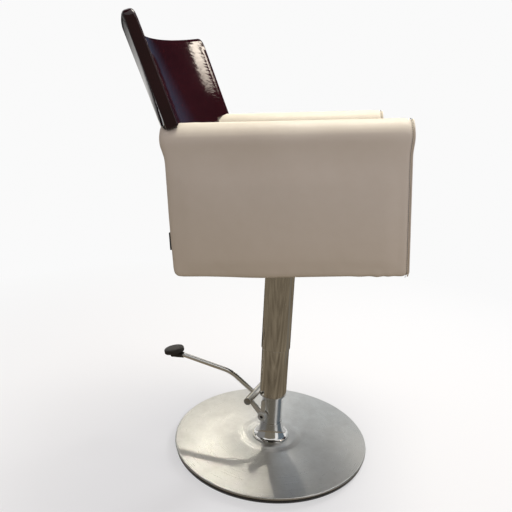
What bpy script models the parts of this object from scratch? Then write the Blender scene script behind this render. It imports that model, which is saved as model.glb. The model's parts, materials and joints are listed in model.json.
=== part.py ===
"""Hydraulic salon chair: upholstered box seat with a bent plywood back on a foot-pumped column.

Units are metres, +Z is up and +X is the way the sitter faces. The origin lies on the floor, on the
axis of the column. The seat is tilted back a little, so its pieces are modelled square to the seat
and carried by a tilted frame. The pedal's pieces are modelled in a frame on the pump shaft.
"""

import math

import bmesh
import bpy
from mathutils import Matrix, Vector

# Clearances
GAP = 0.0003
SOFT_GAP = 0.0010
NOTCH_GAP = 0.0005

# Round base
BASE_R = 0.260
PAD_INSET = 0.010
FLOOR_PAD_T = 0.003
BALLAST_T = 0.011
BALLAST_INSET = 0.003
RIM_H = 0.0049
RIM_W = 0.007
RIM_ROUND = 0.0028
COVER_T = 0.0020
DOME_RISE = 0.0030
STEP_R = 0.083
STEP_RUN = 0.008
STEP_H = 0.0020

# Foot of the column
COLUMN_R = 0.0275
COLUMN_WALL = 0.0020
FOOT_R = 0.0495
FOOT_H = 0.044
FOOT_LIP = 0.0025
FOOT_TOP_WALL = 0.0022
FLANGE_R = 0.044
FLANGE_T = 0.0050
BASE_BOLT_R = 0.0080
BASE_BOLT_HEAD_R = 0.0150
BASE_BOLT_HEAD_H = 0.0060
BASE_BOLT_PROUD = 0.0060

# Pump lever: the shaft crosses the column behind its axis, and the rod points to the rear
LEVER_ANGLE = math.radians(17.5)
PIVOT_BACK = 0.012
PIVOT_Z = 0.0955
SHAFT_R = 0.0070
FINGER_REACH = 0.018
FINGER_R = 0.0050
FINGER_W = 0.012
HUB_R = 0.0120
HUB_W = 0.0130
HUB_TO_TUBE = 0.0020
LEG_R = 0.0062
LEG_T = 0.0064
HORN_H = 0.0420
HORN_R = 0.0050
HORN_T = 0.0056
CROSSBAR_R = 0.0100
CROSSBAR_WALL = 0.0025
CROSSBAR_L = 0.100
CROSSBAR_OUT = 0.0400
CROSSBAR_UP = 0.0385
CROSSBAR_CAP_T = 0.0020
CROSSBAR_PLUG_L = 0.0100
CHEEK_SCREW_R = 0.0095
CHEEK_SCREW_H = 0.0030
CHEEK_SCREW_SHANK_R = 0.0040
CHEEK_SCREW_SHANK_L = 0.0100
SOCKET_HOLE_R = 0.0035
ROD_R = 0.0065
ROD_BEND_OUT = 0.1150
ROD_BEND_UP = 0.0855
ROD_BEND_R = 0.0900
ROD_TIP_R = 0.0300
ROD_KNEE_OUT = 0.2640
ROD_KNEE_UP = 0.1005
PAD_OUT = 0.3000
PAD_UP = 0.1155
PAD_TILT = math.radians(13.0)
PAD_R = 0.0265
PAD_T = 0.0130
PAD_ROUND = 0.0040
PAD_PLATE_R = 0.0200
PAD_PLATE_T = 0.0025

# Pump inside the column
PLUNGER_R = 0.0045
PLUNGER_FOOT_R = 0.0065
PLUNGER_FOOT_H = 0.0025
PLUNGER_L = 0.0280
PLUNGER_STROKE = 0.0056
VALVE_LOW_CLEAR = 0.0070
VALVE_ROOF = 0.0045
CYLINDER_R = 0.0185
CYLINDER_WALL = 0.0020
TUBE_TOP = 0.405
GLAND_R = 0.0330
GLAND_SKIRT = 0.0120
GLAND_TOP_H = 0.0230
BUSH_WALL = 0.0040
GUIDE_BUSH_H = 0.0105
SEAL_H = 0.0065
SEAL_W = 0.0034

# Ram
RAM_R = 0.0160
LIFT_UP = 0.020
LIFT_DOWN = 0.135
SPIGOT_R = 0.0090
PISTON_H = 0.0240
PISTON_NUT_R = 0.0140
PISTON_NUT_H = 0.0080
RAM_FLOOR_GAP = 0.0058
RAM_END_PROUD = 0.0020
PISTON_SEAL_H = 0.0050
PISTON_SEAL_W = 0.0026
STOP_TUBE_WALL = 0.0016
COLLAR_R = 0.0240
COLLAR_H = 0.0095
WASHER_R = 0.0275
WASHER_T = 0.0037

# Sleeves
LOWER_SLEEVE_R = 0.0357
UPPER_SLEEVE_R = 0.0379
SLEEVE_WALL = 0.0015
LOWER_SLEEVE_LOW = 0.148
LOWER_SLEEVE_TOP = 0.400
UPPER_SLEEVE_LOW = 0.285
SLEEVE_COLLAR_UP = 0.006
SLEEVE_COLLAR_H = 0.016

# Seat frame and swivel
SEAT_Z = 0.5765
SEAT_TILT = math.radians(5.0)
SOCKET_LOW_OVER_SEAT_Z = 0.0015
SWIVEL_BUSH_H = 0.0250
PLATE_LOW = 0.0337
PLATE_T = 0.0060
PLATE_LENGTH = 0.170
PLATE_WIDTH = 0.130
PLATE_CORNER = 0.012
PLATE_BOLT_EDGE = 0.0150
PLATE_BOLT_R = 0.0040
PLATE_BOLT_HEAD_R = 0.0075
PLATE_BOLT_HEAD_H = 0.0055

# Box seat
SEAT_WIDTH = 0.636
ARM_T = 0.068
ARM_H = 0.3025
ARM_REAR = -0.2013
ARM_FRONT = 0.2655
ARM_EDGE_R = 0.008
ARM_ROLL_FRONT = 0.0035
ARM_ROLL_REAR = 0.0080
ARM_REAR_CORNER_R = 0.016
ARM_FRONT_CORNER_R = 0.008
ARM_REAR_DRAW = 0.0020
ARM_CROWN = 0.0030
CORE_T = 0.034
CORE_H = 0.250
CORE_INSET = 0.024
BOARD_T = 0.015
BOARD_FRONT_INSET = 0.035
BOARD_REAR_INSET = 0.004
BOARD_HOLE_R = 0.045
CLEAT_T = 0.024
CLEAT_H = 0.033
CLEAT_FRONT_INSET = 0.048
CLEAT_REAR_INSET = 0.045
UNDERSIDE_T = 0.0035
UNDERSIDE_HOLE_R = 0.052
ARM_BOLT_R = 0.0040
ARM_BOLT_HEAD_R = 0.0068
ARM_BOLT_HEAD_H = 0.0055
ARM_BOLT_GRIP = 0.014
ARM_BOLT_SPACING = 0.240
APRON_INSET = 0.005
APRON_ROUND = 0.010
RAIL_T = 0.026
RAIL_INSET = 0.004
RAIL_ROUND = 0.007
CUSHION_EDGE_H = 0.058
CUSHION_CROWN = 0.012
CUSHION_ROUND = 0.020
CUSHION_DRAW = 0.0035
CUSHION_FRONT_INSET = 0.007

# Bent plywood back
SHELL_HALF_W = 0.309
SHELL_T = 0.0246
SHELL_LEAN = math.radians(17.6)
SHELL_SAG = 0.068
SHELL_TIP_X = -0.2335
SHELL_TIP_Z = 0.5145
WING_L = 0.2245
SHELL_EDGE_R = 0.003
SHELL_CORNER_R = 0.016
BRACKET_T = 0.0052
BRACKET_W = 0.060
BRACKET_H = 0.065
BRACKET_SCREW_R = 0.0030
BRACKET_SCREW_HEAD_R = 0.0055
BRACKET_SCREW_HEAD_H = 0.0030
BRACKET_SCREW_L = 0.0160
BOARD_SCREW_DEPTH = 0.0100

# Facets round a turned piece
ROUND = 36
DISC_ROUND = 64
INNER_ROUND = 24
SMALL_ROUND = 12

# Heights and sizes that follow from the ones above
BALLAST_LOW = FLOOR_PAD_T + GAP
BALLAST_TOP = BALLAST_LOW + BALLAST_T
COVER_LOW = BALLAST_TOP + GAP
RIM_TOP = COVER_LOW + RIM_H
DOME_TOP = RIM_TOP + DOME_RISE
COVER_TOP = DOME_TOP + STEP_H
FLANGE_TOP = COVER_LOW + FLANGE_T
TUBE_BORE = COLUMN_R - COLUMN_WALL
PLUNGER_LOW = PIVOT_Z + FINGER_R + GAP
VALVE_LOW = PLUNGER_LOW + PLUNGER_FOOT_H + VALVE_LOW_CLEAR
VALVE_TOP = PLUNGER_LOW + PLUNGER_L + PLUNGER_STROKE + VALVE_ROOF
CYLINDER_LOW = VALVE_TOP + GAP
RAM_END = CYLINDER_LOW + LIFT_DOWN + RAM_FLOOR_GAP
RAM_BORE = RAM_R + GAP
BUSH_R = RAM_BORE + BUSH_WALL
GLAND_TOP = TUBE_TOP + GLAND_TOP_H
PISTON_LOW = RAM_END + RAM_END_PROUD + PISTON_NUT_H + GAP
PISTON_TOP = PISTON_LOW + PISTON_H
COLLAR_TOP = SEAT_Z + SOCKET_LOW_OVER_SEAT_Z - WASHER_T - 2 * GAP
SOCKET_LOW = SEAT_Z + SOCKET_LOW_OVER_SEAT_Z
BORE_ROOF = SOCKET_LOW + SWIVEL_BUSH_H + GAP
UPPER_SLEEVE_BORE = UPPER_SLEEVE_R - SLEEVE_WALL
PLATE_TOP = PLATE_LOW + PLATE_T
BOARD_LOW = PLATE_TOP + GAP
BOARD_TOP = BOARD_LOW + BOARD_T
ARM_Y = SEAT_WIDTH / 2 - ARM_T / 2
INNER_HALF_W = SEAT_WIDTH / 2 - ARM_T
INSIDE_Y = INNER_HALF_W - SOFT_GAP
ARM_L = ARM_FRONT - ARM_REAR
BOARD_FRONT = ARM_FRONT - BOARD_FRONT_INSET
BOARD_REAR = ARM_REAR + BOARD_REAR_INSET
CUSHION_LOW = BOARD_TOP + GAP
LEAN_UP = Vector((-math.sin(SHELL_LEAN), 0, math.cos(SHELL_LEAN)))
LEAN_OUT = Vector((math.cos(SHELL_LEAN), 0, math.sin(SHELL_LEAN)))

FINISHES = {
    "brushed_disc": ((0.60, 0.60, 0.59), 0.34, 1.0),
    "chrome": ((0.78, 0.78, 0.79), 0.08, 1.0),
    "steel": ((0.52, 0.52, 0.53), 0.35, 1.0),
    "black_paint": ((0.02, 0.02, 0.02), 0.45, 0.0),
    "rubber": ((0.018, 0.018, 0.018), 0.75, 0.0),
    "bronze": ((0.55, 0.36, 0.16), 0.40, 1.0),
    "leather": ((0.78, 0.73, 0.62), 0.48, 0.0),
    "lacquer": ((0.035, 0.010, 0.016), 0.10, 0.0),
    "plywood": ((0.52, 0.37, 0.21), 0.65, 0.0),
    "board": ((0.03, 0.03, 0.03), 0.80, 0.0),
}


def clear_scene():
    """Remove everything that the file held before."""
    for obj in list(bpy.data.objects):
        bpy.data.objects.remove(obj, do_unlink=True)


def frame(name, parent=None, location=(0, 0, 0), rotation=(0, 0, 0)):
    """An empty that carries the pieces of one moving body."""
    empty = bpy.data.objects.new(name, None)
    empty.location = location
    empty.rotation_euler = rotation
    empty.parent = parent
    bpy.context.collection.objects.link(empty)
    return empty


def finish_material(node, finish):
    """The node's own material, from the named finish."""
    colour, roughness, metallic = FINISHES[finish]
    material = bpy.data.materials.new(node)
    material.use_nodes = True
    shader = material.node_tree.nodes["Principled BSDF"]
    shader.inputs["Base Color"].default_value = (*colour, 1.0)
    shader.inputs["Roughness"].default_value = roughness
    shader.inputs["Metallic"].default_value = metallic
    return material


def mesh_object(name, bm, parent):
    """Link a bmesh as an object with its faces pointing out."""
    bmesh.ops.recalc_face_normals(bm, faces=bm.faces)
    mesh = bpy.data.meshes.new(name)
    bm.to_mesh(mesh)
    bm.free()
    obj = bpy.data.objects.new(name, mesh)
    obj.parent = parent
    bpy.context.collection.objects.link(obj)
    return obj


def piece(name, bm, finish, parent=None, crease=35):
    """One named sub-part with its material, shaded smooth up to the crease angle."""
    obj = mesh_object(name, bm, parent)
    obj.data.materials.append(finish_material(name, finish))
    obj.data.shade_smooth()
    obj.data.set_sharp_from_angle(angle=math.radians(crease))
    return obj


def boolean(target, tool, operation):
    """Join a hidden tool to the target, or cut it out of the target."""
    tool.hide_render = True
    tool.display_type = "WIRE"
    modifier = target.modifiers.new(operation.lower(), "BOOLEAN")
    modifier.operation = operation
    modifier.solver = "EXACT"
    modifier.object = tool


def cut(target, tool):
    boolean(target, tool, "DIFFERENCE")


def soften(obj, width, segments=2):
    """Round the sharp edges of a piece."""
    modifier = obj.modifiers.new("soften", "BEVEL")
    modifier.width = width
    modifier.segments = segments
    modifier.limit_method = "ANGLE"
    modifier.angle_limit = math.radians(40)
    modifier.use_clamp_overlap = True


def add_turned(bm, profile, segments, place=None):
    """Turn a closed (radius, height) outline about Z. A radius of 0 is a point on the axis."""
    place = place or Matrix()
    rings = []
    for radius, height in profile:
        count = segments if radius > 0 else 1
        ring = []
        for k in range(count):
            angle = 2 * math.pi * k / segments
            point = Vector((radius * math.cos(angle), radius * math.sin(angle), height))
            ring.append(bm.verts.new(place @ point))
        rings.append(ring)
    for low, high in zip(rings, rings[1:] + rings[:1]):
        if len(low) == 1 and len(high) == 1:
            continue
        for k in range(segments):
            after = k + 1
            corners = [low[k % len(low)], low[after % len(low)]]
            corners += [high[after % len(high)], high[k % len(high)]]
            bm.faces.new(list(dict.fromkeys(corners)))


def turned(name, profile, finish, parent=None, segments=ROUND, place=None):
    bm = bmesh.new()
    add_turned(bm, profile, segments, place)
    return piece(name, bm, finish, parent)


def tube_profile(inner, outer, low, high):
    return [(inner, low), (outer, low), (outer, high), (inner, high)]


def rod_profile(radius, low, high):
    return [(0, low), (radius, low), (radius, high), (0, high)]


def bolt_profile(shank, head, head_low, head_high, tip):
    """A headed fastener along Z: the shank runs from the head to its tip, up or down."""
    near = head_high if tip > head_high else head_low
    far = head_low if tip > head_high else head_high
    return [(0, far), (head, far), (head, near), (shank, near), (shank, tip), (0, tip)]


def add_block(bm, low, high):
    """A cuboid between two opposite corners."""
    low = Vector(low)
    high = Vector(high)
    size = high - low
    place = Matrix.Translation((low + high) / 2) @ Matrix.Diagonal((*size, 1))
    bmesh.ops.create_cube(bm, size=1, matrix=place)


def add_prism(bm, outline, low, high):
    """Extrude an (x, z) outline along Y."""
    near = [bm.verts.new((x, low, z)) for x, z in outline]
    far = [bm.verts.new((x, high, z)) for x, z in outline]
    bm.faces.new(near)
    bm.faces.new(far)
    for k in range(len(outline)):
        after = (k + 1) % len(outline)
        bm.faces.new([near[k], near[after], far[after], far[k]])


def along_y(x, y, z):
    """Placement that lays a turned outline's axis along Y."""
    return Matrix.Translation((x, y, z)) @ Matrix.Rotation(-math.pi / 2, 4, "X")


def link_outline(start, start_r, end, end_r, steps=7):
    """Outline of a tapered link with round ends, in (x, z)."""
    run = (end[0] - start[0], end[1] - start[1])
    heading = math.atan2(run[1], run[0])
    flare = math.acos((start_r - end_r) / math.hypot(*run))
    points = []
    for k in range(steps):
        angle = heading + flare + (2 * math.pi - 2 * flare) * k / (steps - 1)
        points.append((start[0] + start_r * math.cos(angle), start[1] + start_r * math.sin(angle)))
    for k in range(steps):
        angle = heading - flare + 2 * flare * k / (steps - 1)
        points.append((end[0] + end_r * math.cos(angle), end[1] + end_r * math.sin(angle)))
    return points


def spread(low, high, count):
    """Evenly spaced values from low to high."""
    return [low + (high - low) * k / count for k in range(count + 1)]


def rounded_stations(low, high, radius, count):
    """Stations along a soft block, closer together where its edges are round."""
    edge = [0.0, 0.3 * radius]
    middle = spread(low + radius, high - radius, count)
    return [low + e for e in edge] + middle + [high - e for e in reversed(edge)]


def add_soft_block(bm, xs, ys, zs, shape):
    """A closed block of quads through the stations, each point moved by the shape function."""
    verts = {}

    def corner(i, j, k):
        if (i, j, k) not in verts:
            verts[i, j, k] = bm.verts.new(shape(xs[i], ys[j], zs[k]))
        return verts[i, j, k]

    last = (len(xs) - 1, len(ys) - 1, len(zs) - 1)
    for axis in range(3):
        first, second = [a for a in range(3) if a != axis]
        for side in (0, last[axis]):
            for p in range(last[first]):
                for q in range(last[second]):
                    quad = []
                    for dp, dq in ((0, 0), (1, 0), (1, 1), (0, 1)):
                        index = [0, 0, 0]
                        index[axis] = side
                        index[first] = p + dp
                        index[second] = q + dq
                        quad.append(corner(*index))
                    bm.faces.new(quad)


def rounded_point(point, low, high, radius):
    """Move a point of a block onto the same block with round edges."""
    inner = [min(max(p, a + radius), b - radius) for p, a, b in zip(point, low, high)]
    away = Vector(point) - Vector(inner)
    if away.length > 0:
        away = away * (radius / away.length)
    return Vector(inner) + away


def smooth_step(value):
    value = min(max(value, 0.0), 1.0)
    return value * value * (3 - 2 * value)


def corner_cut(height, radius):
    """How far a round corner has drawn in at a height above its lowest point."""
    if height >= radius:
        return 0.0
    return radius - math.sqrt(radius ** 2 - (radius - max(height, 0.0)) ** 2)


def pedal_place(out, side=0.0, up=0.0):
    """World place of a point given in the pedal's frame."""
    back = PIVOT_BACK + out
    x = -math.cos(LEVER_ANGLE) * back - math.sin(LEVER_ANGLE) * side
    y = math.sin(LEVER_ANGLE) * back - math.cos(LEVER_ANGLE) * side
    return Vector((x, y, PIVOT_Z + up))


def build_base():
    """Floor pad, ballast plate, spun cover and the bolt that holds the column down."""
    turned("floor_pad", rod_profile(BASE_R - PAD_INSET, 0, FLOOR_PAD_T), "rubber",
           segments=DISC_ROUND)
    bolt_bore = BASE_BOLT_R + GAP
    head_bore = BASE_BOLT_HEAD_R + GAP
    head_low = BALLAST_LOW + GAP
    head_high = head_low + BASE_BOLT_HEAD_H
    ballast_r = BASE_R - BALLAST_INSET
    ballast = [(bolt_bore, BALLAST_TOP), (ballast_r, BALLAST_TOP), (ballast_r, BALLAST_LOW)]
    ballast += [(head_bore, BALLAST_LOW), (head_bore, head_high + GAP), (bolt_bore, head_high + GAP)]
    turned("ballast_plate", ballast, "black_paint", segments=DISC_ROUND)
    turned("base_bolt", bolt_profile(BASE_BOLT_R, BASE_BOLT_HEAD_R, head_low, head_high,
                                     FLANGE_TOP + BASE_BOLT_PROUD), "steel", segments=INNER_ROUND)
    rim = BASE_R - RIM_W
    inner = COLUMN_R + GAP
    step = STEP_R - STEP_RUN
    cover = [(inner, COVER_TOP), (step, COVER_TOP), (STEP_R, DOME_TOP)]
    cover += [(rim, RIM_TOP)]
    for angle in spread(math.pi / 2, 0, 3):
        cover.append((BASE_R - RIM_ROUND + RIM_ROUND * math.cos(angle),
                      RIM_TOP - RIM_ROUND + RIM_ROUND * math.sin(angle)))
    cover += [(BASE_R, COVER_LOW), (rim, COVER_LOW), (rim - COVER_T, RIM_TOP - COVER_T)]
    cover += [(STEP_R - COVER_T, DOME_TOP - COVER_T), (step - COVER_T, COVER_TOP - COVER_T)]
    cover += [(inner, COVER_TOP - COVER_T)]
    turned("base_cover", cover, "brushed_disc", segments=DISC_ROUND)


def build_column():
    """Trumpet foot, pump tube, valve block, cylinder, gland and the fixed sleeve."""
    low = COVER_TOP + GAP
    top_r = COLUMN_R + FOOT_TOP_WALL
    foot = [(COLUMN_R + GAP, low), (FOOT_R, low)]
    for t in spread(0, math.pi / 2, 7):
        foot.append((top_r + (FOOT_R - top_r) * (1 - math.sin(t)),
                     low + FOOT_LIP + (FOOT_H - FOOT_LIP) * (1 - math.cos(t))))
    foot += [(COLUMN_R + GAP, low + FOOT_H)]
    turned("foot_flange", foot, "chrome")

    bolt_bore = BASE_BOLT_R + GAP
    tube = [(bolt_bore, COVER_LOW), (FLANGE_R, COVER_LOW), (FLANGE_R, FLANGE_TOP)]
    tube += [(COLUMN_R, FLANGE_TOP), (COLUMN_R, TUBE_TOP), (TUBE_BORE, TUBE_TOP)]
    tube += [(TUBE_BORE, FLANGE_TOP), (bolt_bore, FLANGE_TOP)]
    tube = turned("reservoir_tube", tube, "chrome")
    shaft_hole = bmesh.new()
    add_turned(shaft_hole, rod_profile(SHAFT_R + GAP, -2 * COLUMN_R, 2 * COLUMN_R), INNER_ROUND,
               along_y(0, 0, 0))
    hole_tool = mesh_object("shaft_hole", shaft_hole, None)
    hole_tool.location = pedal_place(0)
    hole_tool.rotation_euler.z = math.pi - LEVER_ANGLE
    cut(tube, hole_tool)

    block = turned("valve_block", rod_profile(TUBE_BORE - GAP, VALVE_LOW, VALVE_TOP), "steel")
    bore = bmesh.new()
    add_turned(bore, rod_profile(PLUNGER_R + GAP, VALVE_LOW - PLUNGER_L, VALVE_TOP - VALVE_ROOF),
               INNER_ROUND)
    bore_tool = mesh_object("plunger_bore", bore, None)
    bore_tool.location = pedal_place(-FINGER_REACH, up=-PIVOT_Z)
    cut(block, bore_tool)

    turned("pressure_cylinder",
           tube_profile(CYLINDER_R, CYLINDER_R + CYLINDER_WALL, CYLINDER_LOW, TUBE_TOP), "steel",
           segments=INNER_ROUND)

    bush_low = TUBE_TOP + GAP
    bush_high = bush_low + GUIDE_BUSH_H
    seal_r = RAM_BORE + SEAL_W
    seal_low = GLAND_TOP - SEAL_H
    gland = [(GLAND_R, TUBE_TOP - GLAND_SKIRT), (GLAND_R, GLAND_TOP)]
    gland += [(seal_r + GAP, GLAND_TOP), (seal_r + GAP, seal_low - GAP)]
    gland += [(RAM_BORE, seal_low - GAP), (RAM_BORE, bush_high + GAP)]
    gland += [(BUSH_R + GAP, bush_high + GAP), (BUSH_R + GAP, bush_low)]
    gland += [(COLUMN_R + GAP, bush_low), (COLUMN_R + GAP, TUBE_TOP - GLAND_SKIRT)]
    turned("gland_nut", gland, "steel", segments=INNER_ROUND)
    turned("guide_bush", tube_profile(RAM_BORE, BUSH_R, bush_low, bush_high), "bronze",
           segments=INNER_ROUND)
    turned("wiper_seal", tube_profile(RAM_BORE, seal_r, seal_low, GLAND_TOP), "rubber",
           segments=INNER_ROUND)

    bore_r = LOWER_SLEEVE_R - SLEEVE_WALL
    collar_low = LOWER_SLEEVE_LOW + SLEEVE_COLLAR_UP
    turned("sleeve_collar",
           tube_profile(COLUMN_R + GAP, bore_r - GAP, collar_low, collar_low + SLEEVE_COLLAR_H),
           "black_paint")
    turned("lower_sleeve",
           tube_profile(bore_r, LOWER_SLEEVE_R, LOWER_SLEEVE_LOW, LOWER_SLEEVE_TOP), "chrome")


def build_lift(carrier):
    """Ram, piston, stop tube and the washer that carries the seat."""
    ram_shoulder = PISTON_TOP + GAP
    ram = [(0, RAM_END), (SPIGOT_R, RAM_END), (SPIGOT_R, ram_shoulder), (RAM_R, ram_shoulder)]
    ram += [(RAM_R, COLLAR_TOP - COLLAR_H), (COLLAR_R, COLLAR_TOP - COLLAR_H)]
    ram += [(COLLAR_R, COLLAR_TOP), (RAM_R, COLLAR_TOP)]
    ram += [(RAM_R, BORE_ROOF - GAP), (0, BORE_ROOF - GAP)]
    turned("lift_ram", ram, "chrome", carrier, INNER_ROUND)

    piston_r = CYLINDER_R - GAP
    groove_r = piston_r - PISTON_SEAL_W
    groove_low = (PISTON_LOW + PISTON_TOP - PISTON_SEAL_H) / 2
    groove_high = groove_low + PISTON_SEAL_H
    piston = [(SPIGOT_R + GAP, PISTON_LOW), (piston_r, PISTON_LOW), (piston_r, groove_low - GAP)]
    piston += [(groove_r - GAP, groove_low - GAP), (groove_r - GAP, groove_high + GAP)]
    piston += [(piston_r, groove_high + GAP), (piston_r, PISTON_TOP), (SPIGOT_R + GAP, PISTON_TOP)]
    turned("ram_piston", piston, "steel", carrier, INNER_ROUND)
    turned("piston_seal", tube_profile(groove_r, piston_r, groove_low, groove_high), "rubber",
           carrier, INNER_ROUND)
    nut_low = RAM_END + RAM_END_PROUD
    nut = turned("piston_nut", rod_profile(PISTON_NUT_R, nut_low, nut_low + PISTON_NUT_H), "steel",
                 carrier, segments=6)
    bore = bmesh.new()
    add_turned(bore, rod_profile(SPIGOT_R + GAP, RAM_END, PISTON_TOP), INNER_ROUND)
    cut(nut, mesh_object("nut_bore", bore, carrier))
    turned("stop_tube",
           tube_profile(RAM_BORE, RAM_BORE + STOP_TUBE_WALL, PISTON_TOP + GAP, TUBE_TOP - LIFT_UP),
           "steel", carrier, INNER_ROUND)
    turned("thrust_washer",
           tube_profile(RAM_BORE, WASHER_R, COLLAR_TOP + GAP, COLLAR_TOP + GAP + WASHER_T),
           "bronze", carrier, INNER_ROUND)


def build_swivel(upright, tilted):
    """Bush and socket on the ram, sliding sleeve, and the plate under the seat."""
    turned("swivel_bush",
           tube_profile(RAM_BORE, BUSH_R, SOCKET_LOW, SOCKET_LOW + SWIVEL_BUSH_H), "bronze", upright,
           INNER_ROUND)
    socket_r = UPPER_SLEEVE_BORE - GAP
    over = SEAT_Z + PLATE_TOP + socket_r
    socket = [(0, BORE_ROOF), (BUSH_R + GAP, BORE_ROOF), (BUSH_R + GAP, SOCKET_LOW)]
    socket += [(socket_r, SOCKET_LOW), (socket_r, over), (0, over)]
    socket = turned("swivel_socket", socket, "steel", upright)
    room = bmesh.new()
    reach = PLATE_LENGTH
    add_block(room, (-reach, -reach, PLATE_LOW - GAP), (reach, reach, PLATE_LOW + reach))
    cut(socket, mesh_object("plate_room", room, tilted))

    sleeve_top = SEAT_Z + PLATE_LOW - UPPER_SLEEVE_R * math.tan(SEAT_TILT) - GAP
    turned("upper_sleeve",
           tube_profile(UPPER_SLEEVE_BORE, UPPER_SLEEVE_R, UPPER_SLEEVE_LOW, sleeve_top), "chrome",
           upright)

    plate = bmesh.new()
    add_block(plate, (-PLATE_LENGTH / 2, -PLATE_WIDTH / 2, PLATE_LOW),
              (PLATE_LENGTH / 2, PLATE_WIDTH / 2, PLATE_TOP))
    uprights = [e for e in plate.edges if abs(e.verts[0].co.z - e.verts[1].co.z) > PLATE_T / 2]
    bmesh.ops.bevel(plate, geom=uprights, offset=PLATE_CORNER, segments=4, profile=0.5,
                    affect="EDGES")
    plate = piece("mount_plate", plate, "black_paint", tilted)

    bolt_holes = bmesh.new()
    head_high = PLATE_LOW - GAP
    head_low = head_high - PLATE_BOLT_HEAD_H
    bolt = bolt_profile(PLATE_BOLT_R, PLATE_BOLT_HEAD_R, head_low, head_high, BOARD_TOP)
    hole = rod_profile(PLATE_BOLT_R + GAP, head_low, BOARD_TOP + BOARD_T)
    out = PLATE_LENGTH / 2 - PLATE_BOLT_EDGE
    side = PLATE_WIDTH / 2 - PLATE_BOLT_EDGE
    for number, (x, y) in enumerate(((out, side), (out, -side), (-out, side), (-out, -side)), 1):
        place = Matrix.Translation((x, y, 0))
        turned(f"plate_bolt_{number}", bolt, "steel", tilted, SMALL_ROUND, place)
        add_turned(bolt_holes, hole, SMALL_ROUND, place)
    bolt_tool = mesh_object("plate_bolt_holes", bolt_holes, tilted)
    cut(plate, bolt_tool)
    return bolt_tool


def shell_point(side, down, depth):
    """A point of the back: across, down its leaning axis, and forward of its inner face."""
    bow = -SHELL_SAG * (1 - (side / SHELL_HALF_W) ** 2)
    tip = Vector((SHELL_TIP_X, side, SHELL_TIP_Z))
    return tip + LEAN_OUT * (bow + depth) - LEAN_UP * down


def tongue_length():
    """Length of the back whose foot comes to rest on the bracket."""
    seat = CUSHION_LOW + BRACKET_T + GAP
    rear_foot = shell_point(0, 0, -SHELL_T)
    return (rear_foot.z - seat) / LEAN_UP.z


def shell_sheet(grow):
    """Inner face of the T-shaped back as a sheet, enlarged all round by grow."""
    half = SHELL_HALF_W + grow
    tongue = INSIDE_Y - SOFT_GAP + grow
    sides = spread(-tongue, tongue, 14)
    wing = [(half + tongue) / 2, half]
    sides = [-s for s in reversed(wing)] + sides + wing
    downs = spread(-grow, WING_L + grow, 2) + spread(WING_L + grow, tongue_length() + grow, 2)[1:]
    bm = bmesh.new()
    rows = [[bm.verts.new(shell_point(s, d, grow)) for s in sides] for d in downs]
    for upper, lower, down in zip(rows, rows[1:], downs):
        for k in range(len(sides) - 1):
            middle = abs(sides[k] + sides[k + 1]) / 2
            if middle < tongue or down < WING_L:
                bm.faces.new([upper[k], lower[k], lower[k + 1], upper[k + 1]])
    loose = [v for v in bm.verts if not v.link_faces]
    bmesh.ops.delete(bm, geom=loose, context="VERTS")
    return bm


def thicken(obj, thickness):
    """Give a sheet its thickness behind its face."""
    modifier = obj.modifiers.new("thickness", "SOLIDIFY")
    modifier.thickness = thickness
    modifier.offset = -1
    modifier.use_even_offset = True


def build_back(tilted):
    """Bent plywood back, and the tool that cuts its notches in the arms."""
    sheet = shell_sheet(0)
    sheet.verts.ensure_lookup_table()
    top = max(v.co.z for v in sheet.verts)
    tips = [v for v in sheet.verts if v.co.z > top - GAP]
    bmesh.ops.bevel(sheet, geom=tips, offset=SHELL_CORNER_R, segments=3, profile=0.5,
                    affect="VERTICES")
    shell = mesh_object("back_shell", sheet, tilted)
    face_forward(shell)
    shell.data.materials.append(finish_material("back_shell", "lacquer"))
    shell.data.shade_smooth()
    thicken(shell, SHELL_T)
    soften(shell, SHELL_EDGE_R)
    tool = mesh_object("notch_tool", shell_sheet(NOTCH_GAP), tilted)
    face_forward(tool)
    thicken(tool, SHELL_T + 2 * NOTCH_GAP)
    return shell, tool


def face_forward(obj):
    """Turn an open sheet so that its faces look to the front."""
    if obj.data.polygons[0].normal.x < 0:
        obj.data.flip_normals()


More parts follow.
